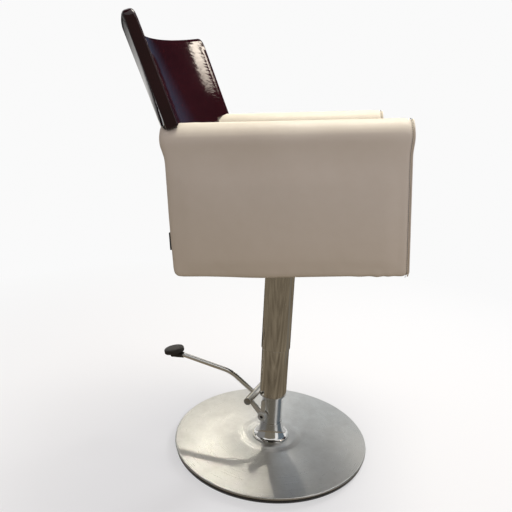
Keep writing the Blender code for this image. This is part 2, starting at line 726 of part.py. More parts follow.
def build_bracket(shell, board, tilted):
    """Steel angle in front of the foot of the back, its screws and their holes."""
    slope = math.tan(SHELL_LEAN)
    sag_over_width = SHELL_SAG * (BRACKET_W / 2 / SHELL_HALF_W) ** 2
    clear = (sag_over_width + GAP) / LEAN_UP.z
    low = CUSHION_LOW
    knee = low + BRACKET_T
    top = low + BRACKET_H
    face = shell_point(0, 0, 0)

    def rear_of_upright(z):
        return face.x + (face.z - z) * slope + clear

    thick = BRACKET_T / LEAN_UP.z
    outline = [(BOARD_REAR, low), (rear_of_upright(low) + thick, low)]
    outline += [(rear_of_upright(top) + thick, top), (rear_of_upright(top), top)]
    outline += [(rear_of_upright(knee), knee), (BOARD_REAR, knee)]
    bracket = bmesh.new()
    add_prism(bracket, outline, -BRACKET_W / 2, BRACKET_W / 2)
    bracket = piece("back_bracket", bracket, "black_paint", tilted)

    holes = bmesh.new()
    height = (knee + top) / 2
    front = rear_of_upright(height) + thick
    into_shell = Matrix.Translation((front, 0, height)) @ Matrix.Rotation(
        math.pi / 2 - SHELL_LEAN, 4, "Y")
    sunk = knee - BRACKET_SCREW_HEAD_H - 2 * GAP
    into_board = Matrix.Translation(((BOARD_REAR + rear_of_upright(knee)) / 2, 0, sunk))
    head_top = GAP + BRACKET_SCREW_HEAD_H
    bore = BRACKET_SCREW_R + GAP
    shell_tip = GAP - BRACKET_SCREW_L
    board_tip = low - BOARD_SCREW_DEPTH - sunk
    shell_hole = rod_profile(bore, shell_tip - GAP, head_top)
    board_hole = bolt_profile(bore, BRACKET_SCREW_HEAD_R + GAP, 0, head_top + 1.5 * GAP,
                              board_tip - GAP)
    for name, place, tip, hole in (("shell", into_shell, shell_tip, shell_hole),
                                   ("board", into_board, board_tip, board_hole)):
        screw = bolt_profile(BRACKET_SCREW_R, BRACKET_SCREW_HEAD_R, GAP, head_top, tip)
        turned(f"bracket_screw_{name}", screw, "steel", tilted, SMALL_ROUND, place)
        add_turned(holes, hole, SMALL_ROUND, place)
    hole_tool = mesh_object("bracket_screw_holes", holes, tilted)
    for target in (bracket, shell, board):
        cut(target, hole_tool)


def arm_end(z, front):
    """Where an arm ends at a height: the roll stands out and the bottom corner is round."""
    roll = smooth_step((z - ARM_H + ARM_T) / (ARM_T / 2))
    if front:
        return ARM_FRONT + ARM_ROLL_FRONT * roll - corner_cut(z, ARM_FRONT_CORNER_R)
    draw = ARM_REAR_DRAW * math.sin(math.pi * min(z / ARM_H, 1.0))
    return ARM_REAR - ARM_ROLL_REAR * roll + draw + corner_cut(z, ARM_REAR_CORNER_R)


def arm_point(along, across, height):
    """A point of a padded arm: a panel with a half-round top and soft ends."""
    half = ARM_T / 2
    y = across
    z = height
    rise = height - (ARM_H - half)
    if rise > 0:
        squash = max(abs(y), rise) / math.hypot(y, rise)
        y *= squash
        z = ARM_H - half + rise * squash
    inset = corner_cut(min(along, ARM_L - along), ARM_EDGE_R)
    y *= 1 - inset / half
    z *= 1 - inset / ARM_H
    rear = arm_end(z, False)
    x = rear + (arm_end(z, True) - rear) * along / ARM_L
    if across > 0:
        swell = math.sin(math.pi * along / ARM_L) * math.sin(math.pi * min(z / ARM_H, 1.0))
        y += ARM_CROWN * swell * across / half
    return Vector((x, y, z))


def build_arm(name, side, notch, bolt_holes, tilted):
    """Plywood core and the padded cover over it, open below, with the notch for the back."""
    half = ARM_T / 2
    cap = ARM_H - half
    heights = [0.0, 0.3 * ARM_FRONT_CORNER_R, ARM_FRONT_CORNER_R, ARM_REAR_CORNER_R]
    heights += spread(ARM_REAR_CORNER_R, cap, 5)[1:] + [cap + 0.4 * half, cap + 0.7 * half, ARM_H]
    across = [half * b for b in (-1.0, -0.7, -0.4, 0.0, 0.4, 0.7, 1.0)]
    alongs = rounded_stations(0, ARM_L, ARM_EDGE_R, 10)
    cover = bmesh.new()

    def shape(x, y, z):
        point = arm_point(x, y, z)
        return (point.x, side * (ARM_Y + point.y), point.z)

    add_soft_block(cover, alongs, across, heights, shape)
    cover = piece(f"arm_cover_{name}", cover, "leather", tilted, crease=50)

    low = (ARM_REAR + CORE_INSET, side * ARM_Y - CORE_T / 2, GAP)
    high = (ARM_FRONT - CORE_INSET, side * ARM_Y + CORE_T / 2, CORE_H)
    core = bmesh.new()
    add_block(core, low, high)
    core = piece(f"arm_core_{name}", core, "plywood", tilted)
    room = bmesh.new()
    add_block(room, (low[0] - GAP, low[1] - GAP, -ARM_EDGE_R),
              (high[0] + GAP, high[1] + GAP, high[2] + GAP))
    cut(cover, mesh_object(f"core_room_{name}", room, tilted))
    cut(cover, notch)
    cut(cover, bolt_holes)
    cut(core, bolt_holes)

    cleat = bmesh.new()
    edges = sorted((side * INSIDE_Y, side * (INSIDE_Y - CLEAT_T)))
    add_block(cleat, (ARM_REAR + CLEAT_REAR_INSET, edges[0], PLATE_TOP - CLEAT_H),
              (ARM_FRONT - CLEAT_FRONT_INSET, edges[1], PLATE_TOP))
    cleat = piece(f"cleat_{name}", cleat, "plywood", tilted)
    cut(cleat, bolt_holes)


def build_arm_bolts(tilted):
    """Bolts through the cleats into the arm cores, and the tool for their holes."""
    holes = bmesh.new()
    middle = (ARM_REAR + CLEAT_REAR_INSET + ARM_FRONT - CLEAT_FRONT_INSET) / 2
    height = PLATE_TOP - CLEAT_H / 2
    head_high = INSIDE_Y - CLEAT_T - GAP
    head_low = head_high - ARM_BOLT_HEAD_H
    tip = ARM_Y - CORE_T / 2 + ARM_BOLT_GRIP
    bolt = bolt_profile(ARM_BOLT_R, ARM_BOLT_HEAD_R, head_low, head_high, tip)
    hole = rod_profile(ARM_BOLT_R + GAP, head_high - CLEAT_T, tip + GAP)
    for name, side in (("left", 1), ("right", -1)):
        for number, end in ((1, -1), (2, 1)):
            place = Matrix.Translation((middle + end * ARM_BOLT_SPACING / 2, 0, height))
            place = place @ Matrix.Rotation(-side * math.pi / 2, 4, "X")
            turned(f"arm_bolt_{name}_{number}", bolt, "steel", tilted, SMALL_ROUND, place)
            add_turned(holes, hole, SMALL_ROUND, place)
    return mesh_object("arm_bolt_holes", holes, tilted)


def build_seat(plate_bolt_holes, tilted):
    """Seat board, closing pieces below it and the cushion on it."""
    board = bmesh.new()
    add_block(board, (BOARD_REAR, -INSIDE_Y, BOARD_LOW), (BOARD_FRONT, INSIDE_Y, BOARD_TOP))
    board = piece("seat_board", board, "plywood", tilted)
    well = bmesh.new()
    add_turned(well, rod_profile(BOARD_HOLE_R, BOARD_LOW - BOARD_T, BOARD_TOP + BOARD_T), INNER_ROUND)
    cut(board, mesh_object("board_well", well, tilted))
    cut(board, plate_bolt_holes)

    cleat_low = PLATE_TOP - CLEAT_H
    lid = bmesh.new()
    add_block(lid, (ARM_REAR + RAIL_INSET + RAIL_T + SOFT_GAP, -INSIDE_Y,
                    cleat_low - GAP - UNDERSIDE_T),
              (BOARD_FRONT, INSIDE_Y, cleat_low - GAP))
    lid = piece("underside_cover", lid, "board", tilted)
    hole = bmesh.new()
    add_turned(hole, rod_profile(UNDERSIDE_HOLE_R, -CLEAT_H, cleat_low + CLEAT_H), INNER_ROUND)
    cut(lid, mesh_object("underside_hole", hole, tilted))

    add_rounded("front_apron", (BOARD_FRONT + GAP, -INSIDE_Y, 0),
                (ARM_FRONT - APRON_INSET, INSIDE_Y, BOARD_TOP), APRON_ROUND, tilted)
    add_rounded("rear_rail", (ARM_REAR + RAIL_INSET, -INSIDE_Y, 0),
                (ARM_REAR + RAIL_INSET + RAIL_T, INSIDE_Y, BOARD_LOW - GAP), RAIL_ROUND, tilted)
    build_cushion(tilted)
    return board


def add_rounded(name, low, high, radius, tilted):
    """An upholstered bar with round edges."""
    def shape(x, y, z):
        return rounded_point((x, y, z), low, high, radius)

    bm = bmesh.new()
    stations = [rounded_stations(a, b, radius, n) for a, b, n in zip(low, high, (1, 4, 1))]
    add_soft_block(bm, *stations, shape)
    return piece(name, bm, "leather", tilted, crease=60)


def build_cushion(tilted):
    """Loose cushion: crowned top, sides drawn in at the seams, rear edge follows the back."""
    low = Vector((0, -INSIDE_Y, CUSHION_LOW))
    high = Vector((1, INSIDE_Y, CUSHION_LOW + CUSHION_EDGE_H))
    front = ARM_FRONT - CUSHION_FRONT_INSET
    bracket_room = BRACKET_T + BRACKET_SCREW_HEAD_H + SOFT_GAP
    length = front - shell_point(0, tongue_length(), bracket_room).x

    def rear(y, z):
        foot = shell_point(y, 0, 0)
        clear = bracket_room / LEAN_UP.z
        return foot.x + (foot.z - z) * math.tan(SHELL_LEAN) + clear

    def shape(x, y, z):
        corner = (0, low.y, low.z)
        point = rounded_point((x, y, z), corner, (length, high.y, high.z), CUSHION_ROUND)
        share = point.x / length
        level = (point.z - low.z) / CUSHION_EDGE_H
        pinch = CUSHION_DRAW * (2 * level - 1) ** 2
        reach = front - pinch
        behind = rear(point.y, point.z) + pinch
        across = point.y / INSIDE_Y
        crown = CUSHION_CROWN * level * (1 - across ** 2) * math.sin(math.pi * min(max(share, 0), 1))
        return Vector((behind + (reach - behind) * share, point.y * (1 - pinch / INSIDE_Y),
                       point.z + crown))

    bm = bmesh.new()
    xs = rounded_stations(0, length, CUSHION_ROUND, 7)
    ys = rounded_stations(low.y, high.y, CUSHION_ROUND, 8)
    zs = rounded_stations(low.z, high.z, CUSHION_ROUND, 1)
    add_soft_block(bm, xs, ys, zs, shape)
    piece("seat_cushion", bm, "leather", tilted, crease=60)


def build_pedal(carrier):
    """Pump shaft with its finger, V-shaped cheeks, crossbar, bent rod and foot pad."""
    hub_low = COLUMN_R + HUB_TO_TUBE
    hub_high = hub_low + HUB_W
    shaft = bmesh.new()
    add_turned(shaft, rod_profile(SHAFT_R, -hub_high, hub_high), INNER_ROUND, along_y(0, 0, 0))
    shaft = piece("pivot_shaft", shaft, "steel", carrier)
    finger = bmesh.new()
    add_prism(finger, link_outline((0, 0), FINGER_R, (-FINGER_REACH, 0), FINGER_R), -FINGER_W / 2,
              FINGER_W / 2)
    boolean(shaft, mesh_object("finger_form", finger, carrier), "UNION")

    bar = (CROSSBAR_OUT, CROSSBAR_UP)
    crossbar = bmesh.new()
    add_turned(crossbar, tube_profile(CROSSBAR_R - CROSSBAR_WALL, CROSSBAR_R, -CROSSBAR_L / 2,
                                      CROSSBAR_L / 2), INNER_ROUND, along_y(bar[0], 0, bar[1]))
    crossbar = piece("crossbar", crossbar, "chrome", carrier)
    bar_room = bmesh.new()
    add_turned(bar_room, rod_profile(CROSSBAR_R + GAP, -CROSSBAR_L, CROSSBAR_L), INNER_ROUND,
               along_y(bar[0], 0, bar[1]))
    bar_tool = mesh_object("crossbar_room", bar_room, carrier)
    shaft_room = bmesh.new()
    add_turned(shaft_room, rod_profile(SHAFT_R + GAP, -CROSSBAR_L, CROSSBAR_L), INNER_ROUND,
               along_y(0, 0, 0))
    shaft_tool = mesh_object("shaft_room", shaft_room, carrier)
    screw_room = bmesh.new()
    face = hub_high + GAP
    depth = CHEEK_SCREW_SHANK_L
    screw = [(0, face - depth), (CHEEK_SCREW_SHANK_R, face - depth), (CHEEK_SCREW_SHANK_R, face)]
    screw += [(CHEEK_SCREW_R, face), (CHEEK_SCREW_R, face + CHEEK_SCREW_H)]
    screw += [(SOCKET_HOLE_R, face + CHEEK_SCREW_H), (SOCKET_HOLE_R, face), (0, face)]
    room = rod_profile(CHEEK_SCREW_SHANK_R + GAP, face - depth - GAP, face + depth)
    end = CROSSBAR_L / 2 + GAP
    plug = bolt_profile(CROSSBAR_R - CROSSBAR_WALL - GAP, CROSSBAR_R, end, end + CROSSBAR_CAP_T,
                        end - CROSSBAR_PLUG_L)
    for name, side in (("left", -1), ("right", 1)):
        build_cheek(name, side, hub_low, hub_high, (shaft_tool, bar_tool), carrier)
        outward = Matrix.Rotation(-side * math.pi / 2, 4, "X")
        turned(f"cheek_screw_{name}", screw, "steel", carrier, SMALL_ROUND, outward)
        add_turned(screw_room, room, SMALL_ROUND, outward)
        turned(f"crossbar_cap_{name}", plug, "steel", carrier, INNER_ROUND,
               Matrix.Translation((bar[0], 0, bar[1])) @ outward)
    cut(shaft, mesh_object("cheek_screw_room", screw_room, carrier))
    build_pedal_rod(crossbar, carrier)


def build_cheek(name, side, hub_low, hub_high, tools, carrier):
    """One lever cheek: a hub on the shaft, a leg to the crossbar and an upright stop horn."""
    middle = (hub_low + hub_high) / 2
    hub = bmesh.new()
    add_turned(hub, rod_profile(HUB_R, hub_low, hub_high), INNER_ROUND,
               Matrix.Rotation(-side * math.pi / 2, 4, "X"))
    cheek = piece(f"cheek_{name}", hub, "steel", carrier)
    bar = (CROSSBAR_OUT, CROSSBAR_UP)
    for label, end, end_r, thick in (("leg", bar, LEG_R, LEG_T), ("horn", (0, HORN_H), HORN_R, HORN_T)):
        form = bmesh.new()
        edges = sorted((side * (middle - thick / 2), side * (middle + thick / 2)))
        add_prism(form, link_outline((0, 0), end_r, end, end_r), *edges)
        boolean(cheek, mesh_object(f"{label}_{name}", form, carrier), "UNION")
    for tool in tools:
        cut(cheek, tool)


def rounded_path(points, radii, steps):
    """Points of a path whose inner corners are rounded to the given radii."""
    path = [points[0]]
    for before, corner, after, radius in zip(points, points[1:], points[2:], radii):
        back = (before - corner).normalized()
        ahead = (after - corner).normalized()
        half = back.angle(ahead) / 2
        start = corner + back * (radius / math.tan(half))
        centre = corner + (back + ahead).normalized() * (radius / math.sin(half))
        sweep = math.pi - 2 * half
        spoke = start - centre
        axis = back.cross(ahead).normalized()
        for k in range(steps + 1):
            path.append(centre + Matrix.Rotation(-sweep * k / steps, 3, axis) @ spoke)
    return path + [points[-1]]


def build_pedal_rod(crossbar, carrier):
    """Bent rod from inside the crossbar to the plate of the foot pad."""
    pad_up = Vector((math.sin(PAD_TILT), 0, math.cos(PAD_TILT)))
    pad_low = Vector((PAD_OUT, 0, PAD_UP)) - pad_up * PAD_T
    start = Vector((CROSSBAR_OUT, 0, CROSSBAR_UP))
    bend = Vector((ROD_BEND_OUT, 0, ROD_BEND_UP))
    knee = Vector((ROD_KNEE_OUT, 0, ROD_KNEE_UP))
    outward = Vector((math.cos(PAD_TILT), 0, -math.sin(PAD_TILT)))
    tip = pad_low - pad_up * (ROD_R + GAP) + outward * PAD_PLATE_R / 2
    path = rounded_path([start, bend, knee, tip], (ROD_BEND_R, ROD_TIP_R), 6)
    curve = bpy.data.curves.new("pedal_rod", "CURVE")
    curve.dimensions = "3D"
    curve.bevel_depth = ROD_R
    curve.bevel_resolution = 4
    curve.use_fill_caps = True
    spline = curve.splines.new("POLY")
    spline.points.add(len(path) - 1)
    for point, place in zip(spline.points, path):
        point.co = (*place, 1)
    rod = bpy.data.objects.new("pedal_rod", curve)
    rod.parent = carrier
    curve.materials.append(finish_material("pedal_rod", "chrome"))
    bpy.context.collection.objects.link(rod)

    hole = bmesh.new()
    aim = (bend - start).to_track_quat("Z", "X").to_matrix().to_4x4()
    add_turned(hole, rod_profile(ROD_R + GAP, 0, 2 * CROSSBAR_R), INNER_ROUND,
               Matrix.Translation(start) @ aim)
    cut(crossbar, mesh_object("rod_hole", hole, carrier))

    seat = Matrix.Translation(pad_low) @ Matrix.Rotation(PAD_TILT, 4, "Y")
    room_r = PAD_PLATE_R + GAP
    room_h = PAD_PLATE_T + GAP
    pad = [(0, room_h), (room_r, room_h), (room_r, 0), (PAD_R - PAD_ROUND / 2, 0)]
    pad += [(PAD_R, PAD_ROUND / 2)]
    for angle in spread(0, math.pi / 2, 3):
        pad.append((PAD_R - PAD_ROUND + PAD_ROUND * math.cos(angle),
                    PAD_T - PAD_ROUND + PAD_ROUND * math.sin(angle)))
    pad += [(0, PAD_T)]
    turned("pedal_pad", pad, "rubber", carrier, place=seat)
    turned("pad_plate", rod_profile(PAD_PLATE_R, 0, PAD_PLATE_T), "steel", carrier, place=seat)


def build_plunger(carrier):
    """Pump plunger with its foot on the finger of the shaft."""
    foot_top = PLUNGER_FOOT_H
    plunger = [(0, 0), (PLUNGER_FOOT_R, 0), (PLUNGER_FOOT_R, foot_top), (PLUNGER_R, foot_top)]
    plunger += [(PLUNGER_R, PLUNGER_L), (0, PLUNGER_L)]
    turned("pump_plunger", plunger, "steel", carrier, segments=INNER_ROUND)


def main():
    clear_scene()
    build_base()
    build_column()
    lift = frame("lift_frame")
    build_lift(lift)
    swivel = frame("swivel_frame", lift)
    tilted = frame("seat_frame", swivel, (0, 0, SEAT_Z), (0, -SEAT_TILT, 0))
    plate_bolt_holes = build_swivel(swivel, tilted)
    board = build_seat(plate_bolt_holes, tilted)
    shell, notch = build_back(tilted)
    build_bracket(shell, board, tilted)
    arm_bolt_holes = build_arm_bolts(tilted)
    build_arm("left", 1, notch, arm_bolt_holes, tilted)
    build_arm("right", -1, notch, arm_bolt_holes, tilted)
    pedal = frame("pedal_frame", None, pedal_place(0), (0, 0, math.pi - LEVER_ANGLE))
    build_pedal(pedal)
    build_plunger(frame("plunger_frame", None,
                        pedal_place(-FINGER_REACH, up=PLUNGER_LOW - PIVOT_Z)))


main()
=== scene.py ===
"""Looks of the hydraulic salon chair: ivory leather, lacquered plywood, chrome and brushed steel.

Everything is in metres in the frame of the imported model. The seat's pieces are shaped square to the
seat and then tilted, the pedal's pieces are shaped on the pump shaft and then turned.
"""

import json
import math

import bmesh
import bpy
import numpy as np
from mathutils import Matrix, Vector, noise


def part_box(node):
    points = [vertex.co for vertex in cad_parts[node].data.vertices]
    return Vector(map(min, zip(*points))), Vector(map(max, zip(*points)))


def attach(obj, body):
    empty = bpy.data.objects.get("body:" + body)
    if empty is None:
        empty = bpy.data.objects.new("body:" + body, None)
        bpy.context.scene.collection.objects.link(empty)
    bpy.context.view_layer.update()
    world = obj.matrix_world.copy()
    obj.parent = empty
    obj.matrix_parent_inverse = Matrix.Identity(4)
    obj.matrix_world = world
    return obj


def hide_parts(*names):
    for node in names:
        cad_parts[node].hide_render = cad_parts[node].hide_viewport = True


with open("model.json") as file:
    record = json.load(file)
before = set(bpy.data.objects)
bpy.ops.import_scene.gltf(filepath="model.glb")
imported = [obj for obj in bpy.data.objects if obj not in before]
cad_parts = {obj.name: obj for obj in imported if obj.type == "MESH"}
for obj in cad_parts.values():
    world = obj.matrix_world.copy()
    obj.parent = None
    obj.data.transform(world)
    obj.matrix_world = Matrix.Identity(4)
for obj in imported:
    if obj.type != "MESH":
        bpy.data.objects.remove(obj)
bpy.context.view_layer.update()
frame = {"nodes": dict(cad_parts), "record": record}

# Round base and column
BASE_R = 0.260
COLUMN_R = 0.0275
LOWER_SLEEVE_R = 0.0357
UPPER_SLEEVE_R = 0.0379
SLEEVE_WALL = 0.0015
BOLT_HOLE_R = 0.0083
GAP = 0.0003

# Seat
SEAT_Z = 0.5765
SEAT_TILT = math.radians(5.0)
SEAT = Matrix.Translation((0, 0, SEAT_Z)) @ Matrix.Rotation(-SEAT_TILT, 4, "Y")
SEAT_WIDTH = 0.636
ARM_T = 0.068
ARM_H = 0.3025
ARM_REAR = -0.2013
ARM_FRONT = 0.2655
ARM_EDGE_R = 0.008
ARM_ROLL_FRONT = 0.0035
ARM_ROLL_REAR = 0.0080
ARM_REAR_CORNER_R = 0.016
ARM_FRONT_CORNER_R = 0.008
ARM_REAR_DRAW = 0.0020
ARM_CROWN = 0.0030
ARM_TUCK = 0.0028
TUCK_DROP = 0.024
TUCK_FADE = 0.10
SAG_REAR = 0.0025
SAG_RUN = 0.0065
ROLL_POWER = 1.72
ARM_L = ARM_FRONT - ARM_REAR
ARM_Y = SEAT_WIDTH / 2 - ARM_T / 2
INSIDE_Y = SEAT_WIDTH / 2 - ARM_T - 0.001
ARM_CAP = ARM_H - ARM_T / 2
BOARD_TOP = 0.0550
BAR_BULGE = 0.004
CUSHION_LOW = BOARD_TOP + GAP
CUSHION_EDGE_H = 0.058
CUSHION_CROWN = 0.012
CUSHION_ROUND = 0.020
CUSHION_DRAW = 0.0035
CUSHION_ROOM = 0.0004
CUSHION_FRONT = ARM_FRONT - 0.007

# Seams at the front of the arms, and puckers along their lower edge as place, width and depth
WELT_BACK = 0.0014
WELT_R = 0.0013
SEAM_BACK = 0.0056
SEAM_DEPTH = 0.0013
SEAM_WIDTH = 0.0016
SEAM_FOOT = 0.002
STITCH_DEPTH = 0.0008
PUCKERS = ((0.172, 0.012, 0.0010), (0.205, 0.009, 0.0019), (0.226, 0.007, 0.0012))

# Bent plywood back
SHELL_HALF_W = 0.309
SHELL_T = 0.0246
SHELL_LEAN = math.radians(17.6)
SHELL_SAG = 0.0680
SHELL_TIP = (-0.2335, 0.5145)
WING_L = 0.2245
WING_END = 0.021
NOTCH_ROOM = 0.0009
SHELL_EDGE_R = 0.003
SHELL_TOP_R = 0.009
SHELL_CORNER_R = 0.016
TOP_EDGE_L = 0.03
EDGE_ANGLE = math.radians(40)
BRACKET_T = 0.0052
TONGUE = INSIDE_Y - 0.001
LEAN_UP = Vector((-math.sin(SHELL_LEAN), 0, math.cos(SHELL_LEAN)))
LEAN_OUT = Vector((math.cos(SHELL_LEAN), 0, math.sin(SHELL_LEAN)))

# Pump lever
PIVOT = Vector((-0.011445, 0.003608, 0.0955))
PAD_T = 0.0130
ROD_R = 0.0065
BOOT_R = 0.0085
PEDAL = Matrix.Translation(PIVOT) @ Matrix.Rotation(math.pi - math.radians(17.5), 4, "Z")


# Helpers for meshes

MERGE_DIST = 1e-6
AXIS_MERGE_DIST = 1e-7
NO_AREA_DIST = 1e-8
SHARP_ANGLE = math.radians(32)
TUBE_LIP = 0.0005


def link(name, data):
    obj = bpy.data.objects.new(name, data)
    bpy.context.scene.collection.objects.link(obj)
    return obj


def mesh_object(name, bm):
    """A new object from a mesh in the making."""
    mesh = bpy.data.meshes.new(name)
    bm.to_mesh(mesh)
    bm.free()
    return link(name, mesh)


def settle(obj):
    """Make what the modifiers show the piece's own plain mesh."""
    bpy.context.view_layer.update()
    graph = bpy.context.evaluated_depsgraph_get()
    mesh = bpy.data.meshes.new_from_object(obj.evaluated_get(graph), depsgraph=graph)
    obj.modifiers.clear()
    old = obj.data
    obj.data = mesh
    bpy.data.meshes.remove(old)
    return obj


def reshape(obj, kind, **settings):
    """Give a piece a modifier and keep what it shows as the plain mesh."""
    modifier = obj.modifiers.new(kind.lower(), kind)
    for key, value in settings.items():
        setattr(modifier, key, value)
    return settle(obj)


def cut(obj, tool):
    """Take a closed tool out of a piece, and remove the tool."""
    reshape(obj, "BOOLEAN", operation="DIFFERENCE", object=tool, solver="EXACT")
    bpy.data.objects.remove(tool)


def soften(obj, width, segments=2):
    """Round the sharp edges of a rigid piece."""
    return reshape(obj, "BEVEL", width=width, segments=segments, limit_method="ANGLE",
                   angle_limit=SHARP_ANGLE, harden_normals=False)


def read_vectors(items, key):
    flat = np.empty(len(items) * 3)
    items.foreach_get(key, flat)
    return flat.reshape(-1, 3)


def coords(obj):
    return read_vectors(obj.data.vertices, "co")


def vertex_normals(obj):
    return read_vectors(obj.data.vertex_normals, "vector")


def set_coords(obj, points):
    obj.data.vertices.foreach_set("co", np.ascontiguousarray(points, dtype=float).ravel())
    obj.data.update()


def tidy_normals(obj):
    """Merge doubles and turn every face of a closed mesh outwards."""
    bm = bmesh.new()
    bm.from_mesh(obj.data)
    bmesh.ops.remove_doubles(bm, verts=bm.verts, dist=MERGE_DIST)
    bmesh.ops.recalc_face_normals(bm, faces=bm.faces)
    bm.to_mesh(obj.data)
    bm.free()


def finish_piece(obj, material, body, nodes=(), place=None, crease=30):
    """Give a piece its place, its material and the body that carries it."""
    if place is not None:
        obj.data.transform(place)
    obj.data.materials.clear()
    obj.data.materials.append(material)
    obj.data.shade_smooth()
    if crease:
        obj.data.set_sharp_from_angle(angle=math.radians(crease))
    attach(obj, body)
    if nodes:
        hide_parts(*nodes)


def turned(name, profile, segments=160):
    """A closed body turned about +Z from the profile of its wall; points on the axis are merged."""
    bm = bmesh.new()
    rings = []
    for radius, height in profile:
        ring = []
        for k in range(segments):
            angle = 2 * math.pi * k / segments
            ring.append(bm.verts.new((radius * math.cos(angle), radius * math.sin(angle), height)))
        rings.append(ring)
    for ring, after in zip(rings, rings[1:] + rings[:1]):
        for k in range(segments):
            n = (k + 1) % segments
            bm.faces.new((ring[k], ring[n], after[n], after[k]))
    bmesh.ops.remove_doubles(bm, verts=bm.verts, dist=AXIS_MERGE_DIST)
    bmesh.ops.dissolve_degenerate(bm, edges=bm.edges, dist=NO_AREA_DIST)
    obj = mesh_object(name, bm)
    tidy_normals(obj)
    return obj


def arc(centre, radius, start, end, steps):
    """Points of an arc in a profile, angles in degrees."""
    points = []
    for k in range(steps + 1):
        angle = math.radians(start + (end - start) * k / steps)
        points.append((centre[0] + radius * math.cos(angle), centre[1] + radius * math.sin(angle)))
    return points


def tube_wall(inner, outer, low, high):
    """Profile of a tube whose ends are a little rounded."""
    lip = TUBE_LIP
    wall = [(inner, low + lip), (inner + lip, low)]
    wall += arc((outer - lip, low + lip), lip, -90, 0, 4)
    wall += [(outer, low + 4 * lip), (outer, high - 4 * lip)]
    wall += arc((outer - lip, high - lip), lip, 0, 90, 4)
    return wall + [(inner + lip, high), (inner, high - lip)]


def smooth_step(value):
    value = min(max(value, 0.0), 1.0)
    return value * value * (3 - 2 * value)


def ramp(values, low, high):
    """Smooth ramp from 0 at low to 1 at high, for arrays."""
    t = np.clip((values - low) / (high - low), 0, 1)
    return t * t * (3 - 2 * t)


def spread(low, high, count):
    return [low + (high - low) * k / count for k in range(count + 1)]


# Helpers for nodes

def wire(tree, kind, links=None, **settings):
    """A node with its settings, its inputs set to values or linked to other nodes' outputs."""
    node = tree.nodes.new(kind)
    for key, value in settings.items():
        setattr(node, key, value)
    for socket, value in (links or {}).items():
        target = node.inputs[socket]
        if isinstance(value, bpy.types.NodeSocket):
            tree.links.new(value, target)
        else:
            target.default_value = value
    return node


def new_finish(name, color, roughness, metallic=0.0, **sockets):
    """A Principled material, its node tree and its shader; its maker adds the other nodes."""
    material = bpy.data.materials.new(name)
    material.use_nodes = True
    shader = material.node_tree.nodes["Principled BSDF"]
    shader.inputs["Base Color"].default_value = (*color, 1)
    shader.inputs["Roughness"].default_value = roughness
    shader.inputs["Metallic"].default_value = metallic
    for key, value in sockets.items():
        shader.inputs[key.replace("_", " ")].default_value = value
    return material, material.node_tree, shader


def object_point(tree, scale=(1, 1, 1), turn=(0, 0, 0)):
    """Object coordinates, turned and stretched for a pattern."""
    source = wire(tree, "ShaderNodeTexCoord")
    return wire(tree, "ShaderNodeMapping", {"Vector": source.outputs["Object"], "Scale": scale,
                                            "Rotation": turn}).outputs["Vector"]


def noise_value(tree, point, scale, detail, roughness=0.5):
    return wire(tree, "ShaderNodeTexNoise", {"Vector": point, "Scale": scale, "Detail": detail,
                                             "Roughness": roughness}).outputs["Fac"]


def remap(tree, value, low, high, out_low, out_high):
    return wire(tree, "ShaderNodeMapRange", {"Value": value, "From Min": low, "From Max": high,
                                             "To Min": out_low, "To Max": out_high}).outputs["Result"]


def blend_color(tree, factor, first, second):
    """Colour between two, by a factor."""
    first, second = [c if isinstance(c, bpy.types.NodeSocket) else (*c, 1) for c in (first, second)]
    return wire(tree, "ShaderNodeMix", {0: factor, 6: first, 7: second}, data_type="RGBA").outputs[2]


def math_node(tree, operation, *values):
    return wire(tree, "ShaderNodeMath", dict(enumerate(values)), operation=operation).outputs[0]


def bump(tree, height, strength, distance, **under):
    """A bumped normal, over another one if that is given."""
    return wire(tree, "ShaderNodeBump", {"Height": height, "Strength": strength, "Distance": distance,
                                         **under}).outputs["Normal"]


def feed(tree, shader, **sockets):
    for key, value in sockets.items():
        tree.links.new(value, shader.inputs[key.replace("_", " ")])


# Materials

def make_leather(name, color, shade):
    """Grained leather: pebbles, slow waves, two close tones, and a yellower tone low down that is painted
    warm bounce light from the floor.
    """
    material, tree, shader = new_finish(name, color, 0.46, Specular_IOR_Level=0.42)
    point = object_point(tree)
    tone = noise_value(tree, point, 7.0, 4.0, 0.6)
    mottle = noise_value(tree, point, 46.0, 3.0, 0.6)
    both = math_node(tree, "ADD", remap(tree, tone, 0.35, 0.7, 0.0, 0.7),
                     remap(tree, mottle, 0.4, 0.7, 0.0, 0.3))
    pebble = wire(tree, "ShaderNodeTexVoronoi", {"Vector": point, "Scale": 620.0, "Randomness": 0.95},
                  feature="DISTANCE_TO_EDGE")
    crease = remap(tree, pebble.outputs["Distance"], 0.0, 0.12, 0.0, 1.0)
    height = wire(tree, "ShaderNodeSeparateXYZ", {"Vector": point}).outputs["Z"]
    # Painted light: the lower part is tinted yellower, standing in for warm light bounced up from the floor.
    painted_floor_bounce = remap(tree, height, 0.58, 0.74, 0.30, 0.0)
    base = blend_color(tree, painted_floor_bounce, blend_color(tree, both, color, shade), (0.80, 0.70, 0.50))
    waves = bump(tree, noise_value(tree, point, 34.0, 3.0), 0.30, 0.0012)
    feed(tree, shader, Base_Color=base, Roughness=remap(tree, tone, 0.3, 0.75, 0.40, 0.54),
         Normal=bump(tree, crease, 0.42, 0.00012, Normal=waves))
    return material


